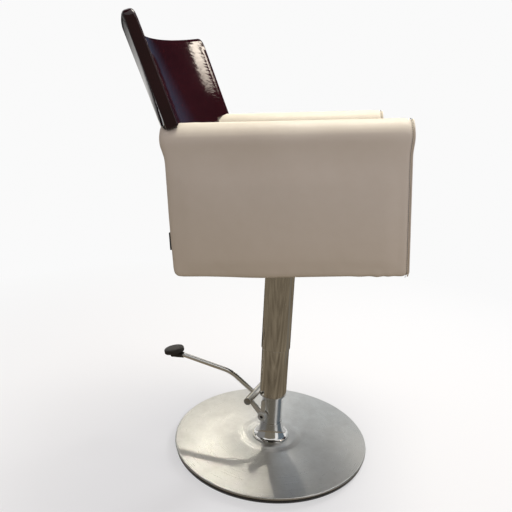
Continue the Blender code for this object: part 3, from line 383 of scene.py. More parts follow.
def make_lacquer():
    """Stained veneer under clear gloss lacquer: streaks along the grain, fine pores, an uneven skin."""
    material, tree, shader = new_finish("wine_lacquer", (0.040, 0.009, 0.014), 0.34, Coat_Weight=1.0,
                                        Coat_Roughness=0.07, Specular_IOR_Level=0.0)

    def grain(scale, detail, roughness=0.5):
        along = object_point(tree, scale, (0, SHELL_LEAN + SEAT_TILT, 0))
        return noise_value(tree, along, 1.0, detail, roughness)

    streak = grain((60, 8, 420), 4.0, 0.65)
    cloud = remap(tree, grain((6, 5, 9), 3.0), 0.3, 0.7, 0.0, 0.3)
    stain = blend_color(tree, math_node(tree, "MULTIPLY_ADD", streak, 0.7, cloud),
                        (0.0080, 0.0018, 0.0032), (0.0340, 0.0066, 0.0100))
    pores = grain((700, 260, 1500), 2.0, 0.6)
    skin = grain((60, 36, 150), 1.5, 0.6)
    feed(tree, shader, Base_Color=stain, Normal=bump(tree, pores, 0.25, 0.00010),
         Coat_Normal=bump(tree, skin, 0.7, 0.00046))
    return material


def make_polished(name, color, rough_low, rough_high):
    """Polished metal with faint wipe marks and hairline scratches."""
    material, tree, shader = new_finish(name, color, rough_low, 1.0)
    smear = noise_value(tree, object_point(tree, (16, 16, 5)), 1.0, 4.0, 0.65)
    fine = noise_value(tree, object_point(tree, (900, 900, 60)), 1.0, 1.0)
    feed(tree, shader, Roughness=remap(tree, smear, 0.35, 0.75, rough_low, rough_high),
         Normal=bump(tree, fine, 0.03, 0.00006))
    return material


def make_brushed_disc():
    """Steel brushed in circles, with a dull patina of smudges and spots."""
    material, tree, shader = new_finish("brushed_disc", (0.60, 0.60, 0.59), 0.30, 1.0, Anisotropic=0.5)
    point = object_point(tree)
    parts = wire(tree, "ShaderNodeSeparateXYZ", {"Vector": point})
    squares = [math_node(tree, "POWER", parts.outputs[axis], 2.0) for axis in "XY"]
    radius = math_node(tree, "SQRT", math_node(tree, "ADD", *squares))
    rings = wire(tree, "ShaderNodeTexNoise", {"W": math_node(tree, "MULTIPLY", radius, 900.0), "Scale": 1.0,
                                              "Detail": 4.0}, noise_dimensions="1D")
    ring = rings.outputs["Fac"]
    smudge = noise_value(tree, point, 19.0, 6.0, 0.72)
    spots = noise_value(tree, point, 70.0, 3.0, 0.6)
    stain = math_node(tree, "ADD", remap(tree, smudge, 0.42, 0.72, 0.0, 0.7),
                      remap(tree, spots, 0.55, 0.75, 0.0, 0.3))
    rough = math_node(tree, "ADD", remap(tree, smudge, 0.3, 0.75, 0.28, 0.38),
                      remap(tree, ring, 0.3, 0.7, -0.05, 0.05))
    radial = wire(tree, "ShaderNodeTangent", direction_type="RADIAL", axis="Z")
    feed(tree, shader, Base_Color=blend_color(tree, stain, (0.67, 0.67, 0.66), (0.53, 0.525, 0.515)),
         Roughness=rough, Normal=bump(tree, ring, 0.10, 0.00008), Tangent=radial.outputs["Tangent"])
    return material


def make_grained(name, color, second, roughness, metallic, scale, strength, distance):
    """Paint, rubber, plastic, board, thread or plain metal: two close tones and a fine even texture."""
    material, tree, shader = new_finish(name, color, roughness, metallic)
    point = object_point(tree)
    tone = noise_value(tree, point, 24.0, 4.0, 0.6)
    fine = noise_value(tree, point, scale, 2.0, 0.6)
    feed(tree, shader, Base_Color=blend_color(tree, remap(tree, tone, 0.35, 0.7, 0.0, 1.0), color, second),
         Roughness=remap(tree, tone, 0.3, 0.75, roughness - 0.05, roughness + 0.07),
         Normal=bump(tree, fine, strength, distance))
    return material


def make_plywood():
    """Raw plywood: pale face with long grain."""
    material, tree, shader = new_finish("raw_plywood", (0.52, 0.37, 0.21), 0.6)
    grain = noise_value(tree, object_point(tree, (14, 220, 220)), 1.0, 4.0, 0.6)
    feed(tree, shader, Base_Color=blend_color(tree, grain, (0.44, 0.29, 0.15), (0.60, 0.44, 0.26)),
         Normal=bump(tree, grain, 0.2, 0.0003))
    return material


LEATHER = make_leather("ivory_leather", (0.835, 0.785, 0.655), (0.800, 0.745, 0.610))
PIPING = make_leather("ivory_piping", (0.835, 0.790, 0.675), (0.800, 0.750, 0.630))
LACQUER = make_lacquer()
CHROME = make_polished("chrome", (0.74, 0.73, 0.71), 0.05, 0.13)
SLEEVE_CHROME = make_polished("sleeve_chrome", (0.70, 0.68, 0.64), 0.06, 0.15)
SATIN = make_polished("satin_bar", (0.66, 0.64, 0.59), 0.20, 0.30)
ROD_CHROME = make_polished("rod_chrome", (0.93, 0.92, 0.89), 0.09, 0.16)
BRIGHT_STEEL = make_polished("bright_steel", (0.86, 0.855, 0.84), 0.36, 0.46)
DISC = make_brushed_disc()
STEEL = make_grained("machined_steel", (0.50, 0.49, 0.47), (0.40, 0.39, 0.37), 0.32, 1.0, 900, 0.1, 0.00008)
BRONZE = make_grained("bearing_bronze", (0.55, 0.36, 0.16), (0.45, 0.29, 0.13), 0.36, 1.0, 700, 0.1, 0.0001)
BLACK_PAINT = make_grained("black_paint", (0.020, 0.020, 0.020), (0.030, 0.029, 0.028), 0.42, 0.0, 800, 0.2,
                           0.00012)
BLACK_PLASTIC = make_grained("black_plastic", (0.022, 0.021, 0.020), (0.030, 0.028, 0.026), 0.5, 0.0, 1100,
                             0.3, 0.00012)
RUBBER = make_grained("black_rubber", (0.026, 0.023, 0.020), (0.045, 0.040, 0.034), 0.55, 0.0, 650, 0.35,
                      0.0002)
THREAD = make_grained("seam_thread", (0.070, 0.070, 0.076), (0.100, 0.100, 0.108), 0.6, 0.0, 1500, 0.2,
                      0.0001)
BOARD = make_grained("black_board", (0.030, 0.029, 0.028), (0.042, 0.040, 0.038), 0.7, 0.0, 420, 0.5, 0.0003)
PLYWOOD = make_plywood()


# Geometry Nodes for what follows a path

def new_tree(name, sizes):
    """An empty geometry tree with named sizes and a material, and its input and output nodes."""
    tree = bpy.data.node_groups.new(name, "GeometryNodeTree")
    tree.interface.new_socket("Geometry", in_out="INPUT", socket_type="NodeSocketGeometry")
    for size, kind in {**sizes, "Finish": "NodeSocketMaterial"}.items():
        tree.interface.new_socket(size, in_out="INPUT", socket_type=kind)
    tree.interface.new_socket("Geometry", in_out="OUTPUT", socket_type="NodeSocketGeometry")
    return tree, tree.nodes.new("NodeGroupInput").outputs, tree.nodes.new("NodeGroupOutput")


def finish_tree(tree, geometry, material, output):
    solid = wire(tree, "GeometryNodeRealizeInstances", {"Geometry": geometry})
    smooth = wire(tree, "GeometryNodeSetShadeSmooth", {"Geometry": solid.outputs[0]})
    painted = wire(tree, "GeometryNodeSetMaterial", {"Geometry": smooth.outputs[0], "Material": material})
    tree.links.new(painted.outputs[0], output.inputs[0])
    return tree


def round_cord_tree():
    """A round bar along a path: the welts, the bent rod and its boot."""
    tree, given, output = new_tree("round_cord", {"Radius": "NodeSocketFloat", "Sides": "NodeSocketInt"})
    path = wire(tree, "GeometryNodeMeshToCurve", {"Mesh": given["Geometry"]})
    ring = wire(tree, "GeometryNodeCurvePrimitiveCircle", {"Resolution": given["Sides"],
                                                           "Radius": given["Radius"]})
    bar = wire(tree, "GeometryNodeCurveToMesh", {"Curve": path.outputs[0],
                                                 "Profile Curve": ring.outputs[0], "Fill Caps": True})
    return finish_tree(tree, bar.outputs[0], given["Finish"], output)


def stitch_tree():
    """Stitches of thread laid end to end along a path."""
    sizes = dict.fromkeys(("Pitch", "Length", "Thread"), "NodeSocketFloat")
    tree, given, output = new_tree("stitch_row", sizes)
    path = wire(tree, "GeometryNodeMeshToCurve", {"Mesh": given["Geometry"]})
    even = wire(tree, "GeometryNodeResampleCurve", {"Curve": path.outputs[0], "Length": given["Pitch"]},
                mode="LENGTH")
    tangent = wire(tree, "GeometryNodeInputTangent")
    turn = wire(tree, "FunctionNodeAlignRotationToVector", {"Vector": tangent.outputs[0]}, axis="X")
    bead = wire(tree, "GeometryNodeMeshUVSphere", {"Segments": 6, "Rings": 5, "Radius": 0.5})
    size = wire(tree, "ShaderNodeCombineXYZ", {"X": given["Length"], "Y": given["Thread"],
                                               "Z": given["Thread"]})
    row = wire(tree, "GeometryNodeInstanceOnPoints", {"Points": even.outputs[0], "Instance": bead.outputs[0],
                                                      "Rotation": turn.outputs[0],
                                                      "Scale": size.outputs[0]})
    return finish_tree(tree, row.outputs[0], given["Finish"], output)


ROUND_CORD = round_cord_tree()
STITCH_ROW = stitch_tree()


def grow(name, path, tree, **sizes):
    """Run a geometry tree along a path and keep its result as a plain mesh."""
    mesh = bpy.data.meshes.new(name)
    mesh.from_pydata([tuple(p) for p in path], [(k, k + 1) for k in range(len(path) - 1)], [])
    obj = link(name, mesh)
    modifier = obj.modifiers.new(tree.name, "NODES")
    modifier.node_group = tree
    for item in tree.interface.items_tree:
        if item.item_type == "SOCKET" and item.in_out == "INPUT" and item.name in sizes:
            modifier[item.identifier] = sizes[item.name]
    settle(obj)
    tidy_normals(obj)
    return obj


def cord_along(name, path, radius, material, sides=12):
    return grow(name, path, ROUND_CORD, Radius=radius, Sides=sides, Finish=material)


# Padded pieces

def soft_block(xs, ys, zs, shape):
    """A closed block of quads through the stations, each point moved by the shape function."""
    bm = bmesh.new()
    verts = {}

    def corner(i, j, k):
        if (i, j, k) not in verts:
            verts[i, j, k] = bm.verts.new(shape(xs[i], ys[j], zs[k]))
        return verts[i, j, k]

    last = (len(xs) - 1, len(ys) - 1, len(zs) - 1)
    for axis in range(3):
        first, second = [a for a in range(3) if a != axis]
        for side in (0, last[axis]):
            for p in range(last[first]):
                for q in range(last[second]):
                    quad = []
                    for dp, dq in ((0, 0), (1, 0), (1, 1), (0, 1)):
                        index = [0, 0, 0]
                        index[axis] = side
                        index[first] = p + dp
                        index[second] = q + dq
                        quad.append(corner(*index))
                    bm.faces.new(quad)
    bmesh.ops.recalc_face_normals(bm, faces=bm.faces)
    return bm


def stations(low, high, radius, count):
    """Stations that lie closer together where the edges are round."""
    edge = [radius * e for e in (0.0, 0.04, 0.15, 0.34, 0.6)]
    middle = spread(low + radius, high - radius, count)
    return [low + e for e in edge] + middle + [high - e for e in reversed(edge)]


def rounded_point(point, low, high, radius):
    inner = [min(max(p, a + radius), b - radius) for p, a, b in zip(point, low, high)]
    away = Vector(point) - Vector(inner)
    if away.length > 0:
        away = away * (radius / away.length)
    return Vector(inner) + away


def remesh(obj, size, rounds):
    """Even out a mesh, and smooth the steps that this leaves."""
    reshape(obj, "REMESH", mode="VOXEL", voxel_size=size)
    reshape(obj, "SMOOTH", factor=0.5, iterations=rounds)


def subdivide(obj):
    reshape(obj, "SUBSURF", levels=1, render_levels=1)


STUFF_FRAMES = 20


def stuff(obj, pressure, cap, hold):
    """Let the cover settle over its foam as cloth under pressure; hold says how freely each point moves."""
    before = coords(obj)
    modifier = obj.modifiers.new("cover", "CLOTH")
    cloth = modifier.settings
    cloth.quality = 5
    cloth.mass = 0.3
    cloth.tension_stiffness = 20
    cloth.compression_stiffness = 20
    cloth.shear_stiffness = 8
    cloth.bending_stiffness = 1.2
    cloth.use_pressure = True
    cloth.uniform_pressure_force = pressure
    cloth.effector_weights.gravity = 0
    modifier.collision_settings.use_collision = False
    modifier.point_cache.frame_start = 1
    modifier.point_cache.frame_end = STUFF_FRAMES
    for number in range(1, STUFF_FRAMES + 1):
        bpy.context.scene.frame_set(number)
    graph = bpy.context.evaluated_depsgraph_get()
    move = coords(obj.evaluated_get(graph)) - before
    obj.modifiers.clear()
    bpy.context.scene.frame_set(1)
    length = np.linalg.norm(move, axis=1)
    move *= np.minimum(1, cap / np.maximum(length, 1e-9))[:, None]
    set_coords(obj, before + move * hold(before)[:, None])


def ripple(points, scale, amount, seed):
    """Slow uneven wave over a cover, for arrays of points."""
    offset = Vector((seed * 3.1, seed * 1.7, seed * 5.3))
    return np.array([noise.noise(Vector(p) * scale + offset) for p in points]) * amount


def corner_cut(height, radius):
    if height >= radius:
        return 0.0
    return radius - math.sqrt(radius ** 2 - (radius - max(height, 0.0)) ** 2)


def arm_end(z, front):
    """Where an arm ends at a height: the roll stands out and the bottom corner is round."""
    roll = smooth_step((z - ARM_H + ARM_T) / (ARM_T / 2))
    if front:
        return ARM_FRONT + ARM_ROLL_FRONT * roll - corner_cut(z, ARM_FRONT_CORNER_R)
    draw = ARM_REAR_DRAW * math.sin(math.pi * min(z / ARM_H, 1.0))
    return ARM_REAR - ARM_ROLL_REAR * roll + draw + corner_cut(z, ARM_REAR_CORNER_R)


def arm_sag(share, height):
    """How far the padding has settled at a share of an arm's length: down at the front, up at the rear."""
    return (SAG_REAR - SAG_RUN * share) * min(height / ARM_H, 1.0)


def arm_point(along, across, height):
    """A point of a padded arm: a panel with a rolled top and soft ends, tucked in under the roll outside."""
    half = ARM_T / 2
    y = across
    z = height
    rise = height - ARM_CAP
    if rise > 0:
        pull = max(abs(y), rise) / (abs(y) ** ROLL_POWER + rise ** ROLL_POWER) ** (1 / ROLL_POWER)
        y *= pull
        z = ARM_CAP + rise * pull
    inset = corner_cut(min(along, ARM_L - along), ARM_EDGE_R)
    y *= 1 - inset / half
    z *= 1 - inset / ARM_H
    rear = arm_end(z, False)
    x = rear + (arm_end(z, True) - rear) * along / ARM_L
    if across > 0:
        swell = math.sin(math.pi * along / ARM_L) * math.sin(math.pi * min(z / ARM_H, 1.0))
        below = ARM_CAP - z
        tuck = smooth_step(below / TUCK_DROP) * (1 - smooth_step((below - TUCK_DROP) / TUCK_FADE))
        tuck *= math.sqrt(math.sin(math.pi * min(max(along / ARM_L, 0.0), 1.0)))
        y += (ARM_CROWN * swell - ARM_TUCK * tuck) * across / half
    return Vector((x, ARM_Y + y, z + arm_sag(along / ARM_L, z)))


def shell_point(side, down, depth):
    """A point of the back: across, down its leaning axis, and forward of its inner face."""
    bow = -SHELL_SAG * (1 - (side / SHELL_HALF_W) ** 2)
    tip = Vector((SHELL_TIP[0], side, SHELL_TIP[1]))
    return tip + LEAN_OUT * (bow + depth) - LEAN_UP * down


SHELL_FOOT = CUSHION_LOW + BRACKET_T + GAP
TONGUE_L = (shell_point(0, 0, -SHELL_T).z - SHELL_FOOT) / LEAN_UP.z


def shell_body(name, grow_by, columns, rows):
    """The T-shaped back, enlarged all round by grow_by."""
    half = SHELL_HALF_W + grow_by
    tongue = TONGUE + grow_by
    sides = spread(-tongue, tongue, columns)
    wing = spread(tongue, half - WING_END, 4)[1:] + [half]
    sides = [-s for s in reversed(wing)] + sides + wing
    split = WING_L + grow_by
    downs = spread(-grow_by, split, rows) + spread(split, TONGUE_L + grow_by, rows)[1:]
    bm = bmesh.new()
    grid = [[bm.verts.new(shell_point(s, d, grow_by)) for s in sides] for d in downs]
    for upper, lower, down in zip(grid, grid[1:], downs):
        for k in range(len(sides) - 1):
            if abs(sides[k] + sides[k + 1]) / 2 < tongue or down < WING_L:
                bm.faces.new([upper[k], upper[k + 1], lower[k + 1], lower[k]])
    bmesh.ops.delete(bm, geom=[v for v in bm.verts if not v.link_faces], context="VERTS")
    top = max(v.co.z for v in bm.verts)
    if not grow_by:
        tips = [v for v in bm.verts if v.co.z > top - GAP and abs(v.co.y) > half - GAP]
        bmesh.ops.bevel(bm, geom=tips, offset=SHELL_CORNER_R, segments=6, profile=0.5, affect="VERTICES")
    obj = mesh_object(name, bm)
    if obj.data.polygons[0].normal.x < 0:
        obj.data.flip_normals()
    return reshape(obj, "SOLIDIFY", thickness=SHELL_T + 2 * grow_by, offset=-1, use_even_offset=True)


def build_back():
    """Bent plywood back with softly broken edges, rounder along the top."""
    shell = shell_body("lacquered_back", 0.0, 56, 10)
    bm = bmesh.new()
    bm.from_mesh(shell.data)
    weight = bm.edges.layers.float.new("bevel_weight_edge")
    tip = Vector((SHELL_TIP[0], 0, SHELL_TIP[1]))
    for edge in bm.edges:
        if edge.calc_face_angle(0.0) > EDGE_ANGLE:
            down = (tip - (edge.verts[0].co + edge.verts[1].co) / 2).dot(LEAN_UP)
            top = 1 - smooth_step(down / TOP_EDGE_L)
            edge[weight] = (SHELL_EDGE_R + (SHELL_TOP_R - SHELL_EDGE_R) * top) / SHELL_TOP_R
    bm.to_mesh(shell.data)
    bm.free()
    reshape(shell, "BEVEL", width=SHELL_TOP_R, segments=5, limit_method="WEIGHT", use_clamp_overlap=False,
            harden_normals=False)
    finish_piece(shell, LACQUER, "seat", ["back_shell"], SEAT, crease=0)


def build_arms():
    """Rolled arms: leather drawn over foam, notched for the wings of the back, with seams at the front."""
    half = ARM_T / 2
    heights = [0.0] + stations(0.0, ARM_CAP, ARM_FRONT_CORNER_R, 24)[1:]
    heights += [ARM_CAP + half * h for h in (0.25, 0.5, 0.75, 1.0)]
    across = [half * b / 8 for b in range(-8, 9)]
    bm = soft_block(stations(0, ARM_L, ARM_EDGE_R, 40), across, heights, arm_point)
    arm = mesh_object("arm_left", bm)
    remesh(arm, 0.0055, 2)

    def freedom(points):
        inner = ramp(ARM_Y - points[:, 1], 0.0, half) * (1 - ramp(points[:, 2], 0.12, 0.16))
        ends = ramp(ARM_FRONT - points[:, 0], 0.006, 0.05) * ramp(points[:, 0] - ARM_REAR, 0.0, 0.05)
        roll = ramp(points[:, 2], ARM_CAP - 0.09, ARM_CAP - 0.04)
        return ends * ramp(points[:, 2], 0.0, 0.04) * (1 - inner) * (1 - roll)

    stuff(arm, 4.0, 0.0035, freedom)
    cut(arm, shell_body("notch", NOTCH_ROOM, 20, 4))
    remesh(arm, 0.0041, 3)
    subdivide(arm)
    sew_arm(arm)
    mirrored = link("arm_right", arm.data.copy())
    mirrored.data.transform(Matrix.Scale(-1, 4, (0, 1, 0)))
    mirrored.data.flip_normals()
    for obj, side in ((arm, "left"), (mirrored, "right")):
        finish_piece(obj, LEATHER, "seat", [f"arm_cover_{side}"], SEAT, crease=0)
    build_arm_seams()


def sew_arm(arm):
    """Sink the seam behind the front welt, and add the slow waves and puckers of drawn leather."""
    points = coords(arm)
    normals = vertex_normals(arm)
    front = np.array([arm_end(z, True) for z in points[:, 2]])
    behind = front - SEAM_BACK - points[:, 0]
    sunk = -SEAM_DEPTH * np.exp(-(behind / SEAM_WIDTH) ** 2)
    outer = ramp(points[:, 1] - ARM_Y, 0.0, 0.02)
    wave = ripple(points, 9.0, 0.0022, 1) * outer + ripple(points, 34.0, 0.00025, 2)
    wave *= ramp(np.abs(behind), 0.002, 0.02)
    low = 1 - ramp(points[:, 2], 0.0, 0.022)
    for place, width, depth in PUCKERS:
        wave += depth * low * outer * np.exp(-((points[:, 0] - place) / width) ** 2)
    set_coords(arm, points + normals * (sunk + wave)[:, None])


def front_outline(side, back, proud):
    """Path over the front end of an arm, from the outer bottom edge over the roll to the inner one."""
    half = ARM_T / 2
    inset = corner_cut(back, ARM_EDGE_R)
    section = [(half, z) for z in spread(SEAM_FOOT, ARM_CAP, 30)]
    for a in spread(0, math.pi, 24)[1:-1]:
        reach = (abs(math.cos(a)) ** ROLL_POWER + math.sin(a) ** ROLL_POWER) ** (-1 / ROLL_POWER)
        section.append((half * reach * math.cos(a), ARM_CAP + half * reach * math.sin(a)))
    section += [(-half, z) for z in spread(ARM_CAP, SEAM_FOOT, 30)]
    path = []
    for y, z in section:
        scale = (half - inset + proud) / half
        height = z if z < ARM_CAP else ARM_CAP + (z - ARM_CAP) * scale
        path.append(SEAT @ Vector((arm_end(height, True) - back, side * (ARM_Y + y * scale),
                                   height + arm_sag(1.0, height))))
    return path


def build_arm_seams():
    """Thin welt round the front end of each arm, and the stitches in the seam behind it."""
    for name, side in (("left", 1), ("right", -1)):
        welt = cord_along(f"arm_welt_{name}", front_outline(side, WELT_BACK, 0.0), WELT_R, PIPING)
        finish_piece(welt, PIPING, "seat", crease=0)
        stitches = grow(f"arm_stitches_{name}", front_outline(side, SEAM_BACK, -STITCH_DEPTH), STITCH_ROW,
                        Pitch=0.0042, Length=0.0037, Thread=0.0012, Finish=THREAD)
        finish_piece(stitches, THREAD, "seat", crease=0)


BRACKET_ROOM = BRACKET_T + 0.0040


def cushion_rear(y, z):
    foot = shell_point(y, 0, 0)
    return foot.x + (foot.z - z) * math.tan(SHELL_LEAN) + BRACKET_ROOM / LEAN_UP.z


CUSHION_L = CUSHION_FRONT - shell_point(0, TONGUE_L, BRACKET_ROOM).x


def cushion_point(x, y, z):
    """A point of the cushion: crowned top, sides drawn in at the seams, rear edge along the back."""
    low = (0, -INSIDE_Y, CUSHION_LOW)
    high = (CUSHION_L, INSIDE_Y, CUSHION_LOW + CUSHION_EDGE_H)
    point = rounded_point((x, y, z), low, high, CUSHION_ROUND)
    share = point.x / CUSHION_L
    level = (point.z - CUSHION_LOW) / CUSHION_EDGE_H
    pinch = CUSHION_DRAW * (2 * level - 1) ** 2
    behind = cushion_rear(point.y, point.z) + pinch
    crown = CUSHION_CROWN * level * (1 - (point.y / INSIDE_Y) ** 2)
    crown *= math.sin(math.pi * min(max(share, 0), 1))
    return Vector((behind + (CUSHION_FRONT - pinch - behind) * share, point.y * (1 - pinch / INSIDE_Y),
                   point.z + crown))


def build_cushion():
    """Loose seat cushion: leather box over foam, crowned and drawn in along its seams."""
    bm = soft_block(stations(0, CUSHION_L, CUSHION_ROUND, 30),
                    stations(-INSIDE_Y, INSIDE_Y, CUSHION_ROUND, 30),
                    stations(CUSHION_LOW, CUSHION_LOW + CUSHION_EDGE_H, CUSHION_ROUND, 3), cushion_point)
    cushion = mesh_object("seat_pad", bm)
    remesh(cushion, 0.006, 2)

    def freedom(points):
        return ramp(points[:, 2], CUSHION_LOW, CUSHION_LOW + 0.02) * \
            ramp(INSIDE_Y - np.abs(points[:, 1]), 0.002, 0.03)

    stuff(cushion, 4.0, 0.006, freedom)
    subdivide(cushion)
    points = coords(cushion)
    normals = vertex_normals(cushion)
    wave = ripple(points, 14.0, 0.0012, 3) + ripple(points, 40.0, 0.0003, 4)
    points = points + normals * (wave * ramp(points[:, 2], CUSHION_LOW, CUSHION_LOW + 0.03))[:, None]
    side = INSIDE_Y - CUSHION_ROOM
    points[:, 1] = np.clip(points[:, 1], -side, side)
    points[:, 2] = np.maximum(points[:, 2], CUSHION_LOW)
    set_coords(cushion, points)
    finish_piece(cushion, LEATHER, "seat", ["seat_cushion"], SEAT, crease=0)


def build_bar(name, node, low, high, radius, seed):
    """An upholstered bar of the seat box: leather pulled tight over a padded board."""
    def shape(x, y, z):
        return rounded_point((x, y, z), low, high, radius)

    counts = (4, 40, 6)
    bm = soft_block(*[stations(a, b, radius, n) for a, b, n in zip(low, high, counts)], shape)
    bar = mesh_object(name, bm)
    remesh(bar, 0.005, 2)
    middle = [(a + b) / 2 for a, b in zip(low, high)]
    reach = [(b - a) / 2 for a, b in zip(low, high)]

    def freedom(points):
        return ramp(reach[1] - np.abs(points[:, 1] - middle[1]), 0.0, 0.03) * \
            ramp(high[2] - points[:, 2], 0.0, 0.012) * ramp(points[:, 2] - low[2], 0.0, 0.012)

    stuff(bar, 3.0, 0.002, freedom)
    subdivide(bar)
    points = coords(bar)
    wave = ripple(points, 22.0, 0.0007, seed)
    points = points + vertex_normals(bar) * wave[:, None]
    bulge = np.array((BAR_BULGE, 0, 0))
    points = np.clip(points, low - bulge, high + bulge)
    set_coords(bar, points)
    finish_piece(bar, LEATHER, "seat", [node], SEAT, crease=0)


# Base, column and pedal

def build_base():
    """Spun and brushed disc over a black ballast plate."""
    low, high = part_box("base_cover")
    rim_r, rise, thin, edge = 0.0028, 0.0030, 0.0020, 0.0003
    rim_top = low.z + 0.0049
    dome = rim_top + rise
    top = high.z
    step, step_l, dome_r, dome_l = 0.066, 0.024, 0.083, 0.170
    outline = [(COLUMN_R + GAP, top)]
    for r in spread(step, 0.090, 12):
        outline.append((r, top + (dome - top) * smooth_step((r - step) / step_l)))
    outline += [(r, dome - rise * ((r - dome_r) / dome_l) ** 1.3) for r in spread(0.105, 0.25, 12)]
    outline += [(0.2535, rim_top)] + arc((BASE_R - rim_r, rim_top - rim_r), rim_r, 90, 0, 8)
    outline += [(BASE_R, low.z + edge), (BASE_R - edge, low.z), (0.253, low.z)]
    outline += [(0.251, rim_top - thin), (0.081, dome - thin), (0.073, top - thin)]
    outline += [(COLUMN_R + GAP, top - thin)]
    disc = turned("brushed_base", outline, 224)
    finish_piece(disc, DISC, "base", ["base_cover"], crease=28)
    low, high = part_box("ballast_plate")
    plate_r, upper_r, lower_r, head_r, head_room = 0.2570, 0.0006, 0.0010, 0.0153, low.z + 0.0066
    plate = [(BOLT_HOLE_R, high.z)] + arc((plate_r - upper_r, high.z - upper_r), upper_r, 90, 0, 3)
    plate += arc((plate_r - lower_r, low.z + lower_r), lower_r, 0, -90, 3)
    plate += [(head_r, low.z), (head_r, head_room), (BOLT_HOLE_R, head_room)]
    finish_piece(turned("ballast_edge", plate, 224), BLACK_PAINT, "base", ["ballast_plate"])


def build_column():
    """Trumpet foot, pump tube and the two telescopic sleeves."""
    low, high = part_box("foot_flange")
    top_r = COLUMN_R + 0.0022
    edge, rim = 0.0005, 0.0025
    flare = [(COLUMN_R + GAP, low.z), (high.x - edge, low.z), (high.x, low.z + edge)]
    for t in spread(0, math.pi / 2, 22):
        flare.append((top_r + (high.x - top_r) * (1 - math.sin(t)),
                      low.z + rim + (high.z - low.z - rim) * (1 - math.cos(t))))
    flare += [(top_r - 0.0006, high.z), (COLUMN_R + GAP, high.z)]
    finish_piece(turned("trumpet_foot", flare), CHROME, "base", ["foot_flange"])

    low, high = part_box("reservoir_tube")
    flange_r, bore_r, shaft_r, reach = 0.044, COLUMN_R - 0.0020, 0.0073, 0.06
    foot = low.z + 0.0050
    tube = [(BOLT_HOLE_R, low.z), (flange_r, low.z), (flange_r, foot), (COLUMN_R, foot), (COLUMN_R, high.z)]
    tube = turned("pump_tube", tube + [(bore_r, high.z), (bore_r, foot), (BOLT_HOLE_R, foot)])
    drill = turned("shaft_drill", [(0.0, -reach), (shaft_r, -reach), (shaft_r, reach), (0.0, reach)], 32)
    drill.data.transform(PEDAL @ Matrix.Rotation(math.pi / 2, 4, "X"))
    cut(tube, drill)
    finish_piece(tube, CHROME, "base", ["reservoir_tube"])

    for name, node, radius, body in (("fixed_sleeve", "lower_sleeve", LOWER_SLEEVE_R, "base"),
                                     ("sliding_sleeve", "upper_sleeve", UPPER_SLEEVE_R, "seat")):
        low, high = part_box(node)
        sleeve = turned(name, tube_wall(radius - SLEEVE_WALL, radius, low.z, high.z))
        finish_piece(sleeve, SLEEVE_CHROME, body, [node])


def copy_of(node, name, width):
    """A CAD piece with its edges softly broken."""
    obj = link(name, frame["nodes"][node].data.copy())
    bm = bmesh.new()
    bm.from_mesh(obj.data)
    bmesh.ops.remove_doubles(bm, verts=bm.verts, dist=MERGE_DIST)
    bmesh.ops.dissolve_limit(bm, angle_limit=math.radians(1), verts=bm.verts, edges=bm.edges)
    bm.to_mesh(obj.data)
    bm.free()
    return soften(obj, width)


def build_pedal():
    """Lever cheeks, crossbar, bent rod and foot pad."""
    for side in ("left", "right"):
        cheek = copy_of(f"cheek_{side}", f"lever_cheek_{side}", 0.0007)
        finish_piece(cheek, BRIGHT_STEEL, "pedal", [f"cheek_{side}"])
        build_hub_screw(side)
        cap = copy_of(f"crossbar_cap_{side}", f"bar_end_{side}", 0.0006)
        finish_piece(cap, STEEL, "pedal", [f"crossbar_cap_{side}"])

    bar_out, bar_up, bar_half = 0.0400, 0.0385, 0.0500
    along = PEDAL @ Matrix.Translation((bar_out, 0, bar_up)) @ Matrix.Rotation(math.pi / 2, 4, "X")
    bar = turned("lever_bar", tube_wall(0.0075, 0.0100, -bar_half, bar_half), 64)
    start = Vector((bar_out, 0, bar_up))
    bend = Vector((0.1150, 0, 0.0855))
    aim = Matrix.Translation(start) @ (bend - start).to_track_quat("Z", "X").to_matrix().to_4x4()
    drill_r, drill_l = 0.0068, 0.02
    drill = turned("rod_drill", [(0.0, 0.0), (drill_r, 0.0), (drill_r, drill_l), (0.0, drill_l)], 32)
    drill.data.transform(PEDAL @ aim)
    bar.data.transform(along)
    cut(bar, drill)
    finish_piece(bar, SATIN, "pedal", ["crossbar"])

    tilt = math.radians(13.0)
    pad_up = Vector((math.sin(tilt), 0, math.cos(tilt)))
    pad_low = Vector((0.3000, 0, 0.1155)) - pad_up * PAD_T
    knee = Vector((0.2640, 0, 0.1005))
    outward = Vector((math.cos(tilt), 0, -math.sin(tilt)))
    tip = pad_low - pad_up * (ROD_R + GAP) + outward * 0.0100
    path = [PEDAL @ p for p in rounded_path([start, bend, knee, tip], (0.0900, 0.0300), 24)]
    rod = cord_along("bent_rod", path, ROD_R, ROD_CHROME, sides=40)
    finish_piece(rod, ROD_CHROME, "pedal", ["pedal_rod"], crease=50)
    boot = cord_along("pad_boot", path[-2:], BOOT_R, RUBBER, sides=32)
    finish_piece(boot, RUBBER, "pedal", crease=50)
    build_foot_pad(PEDAL @ Matrix.Translation(pad_low) @ Matrix.Rotation(tilt, 4, "Y"))


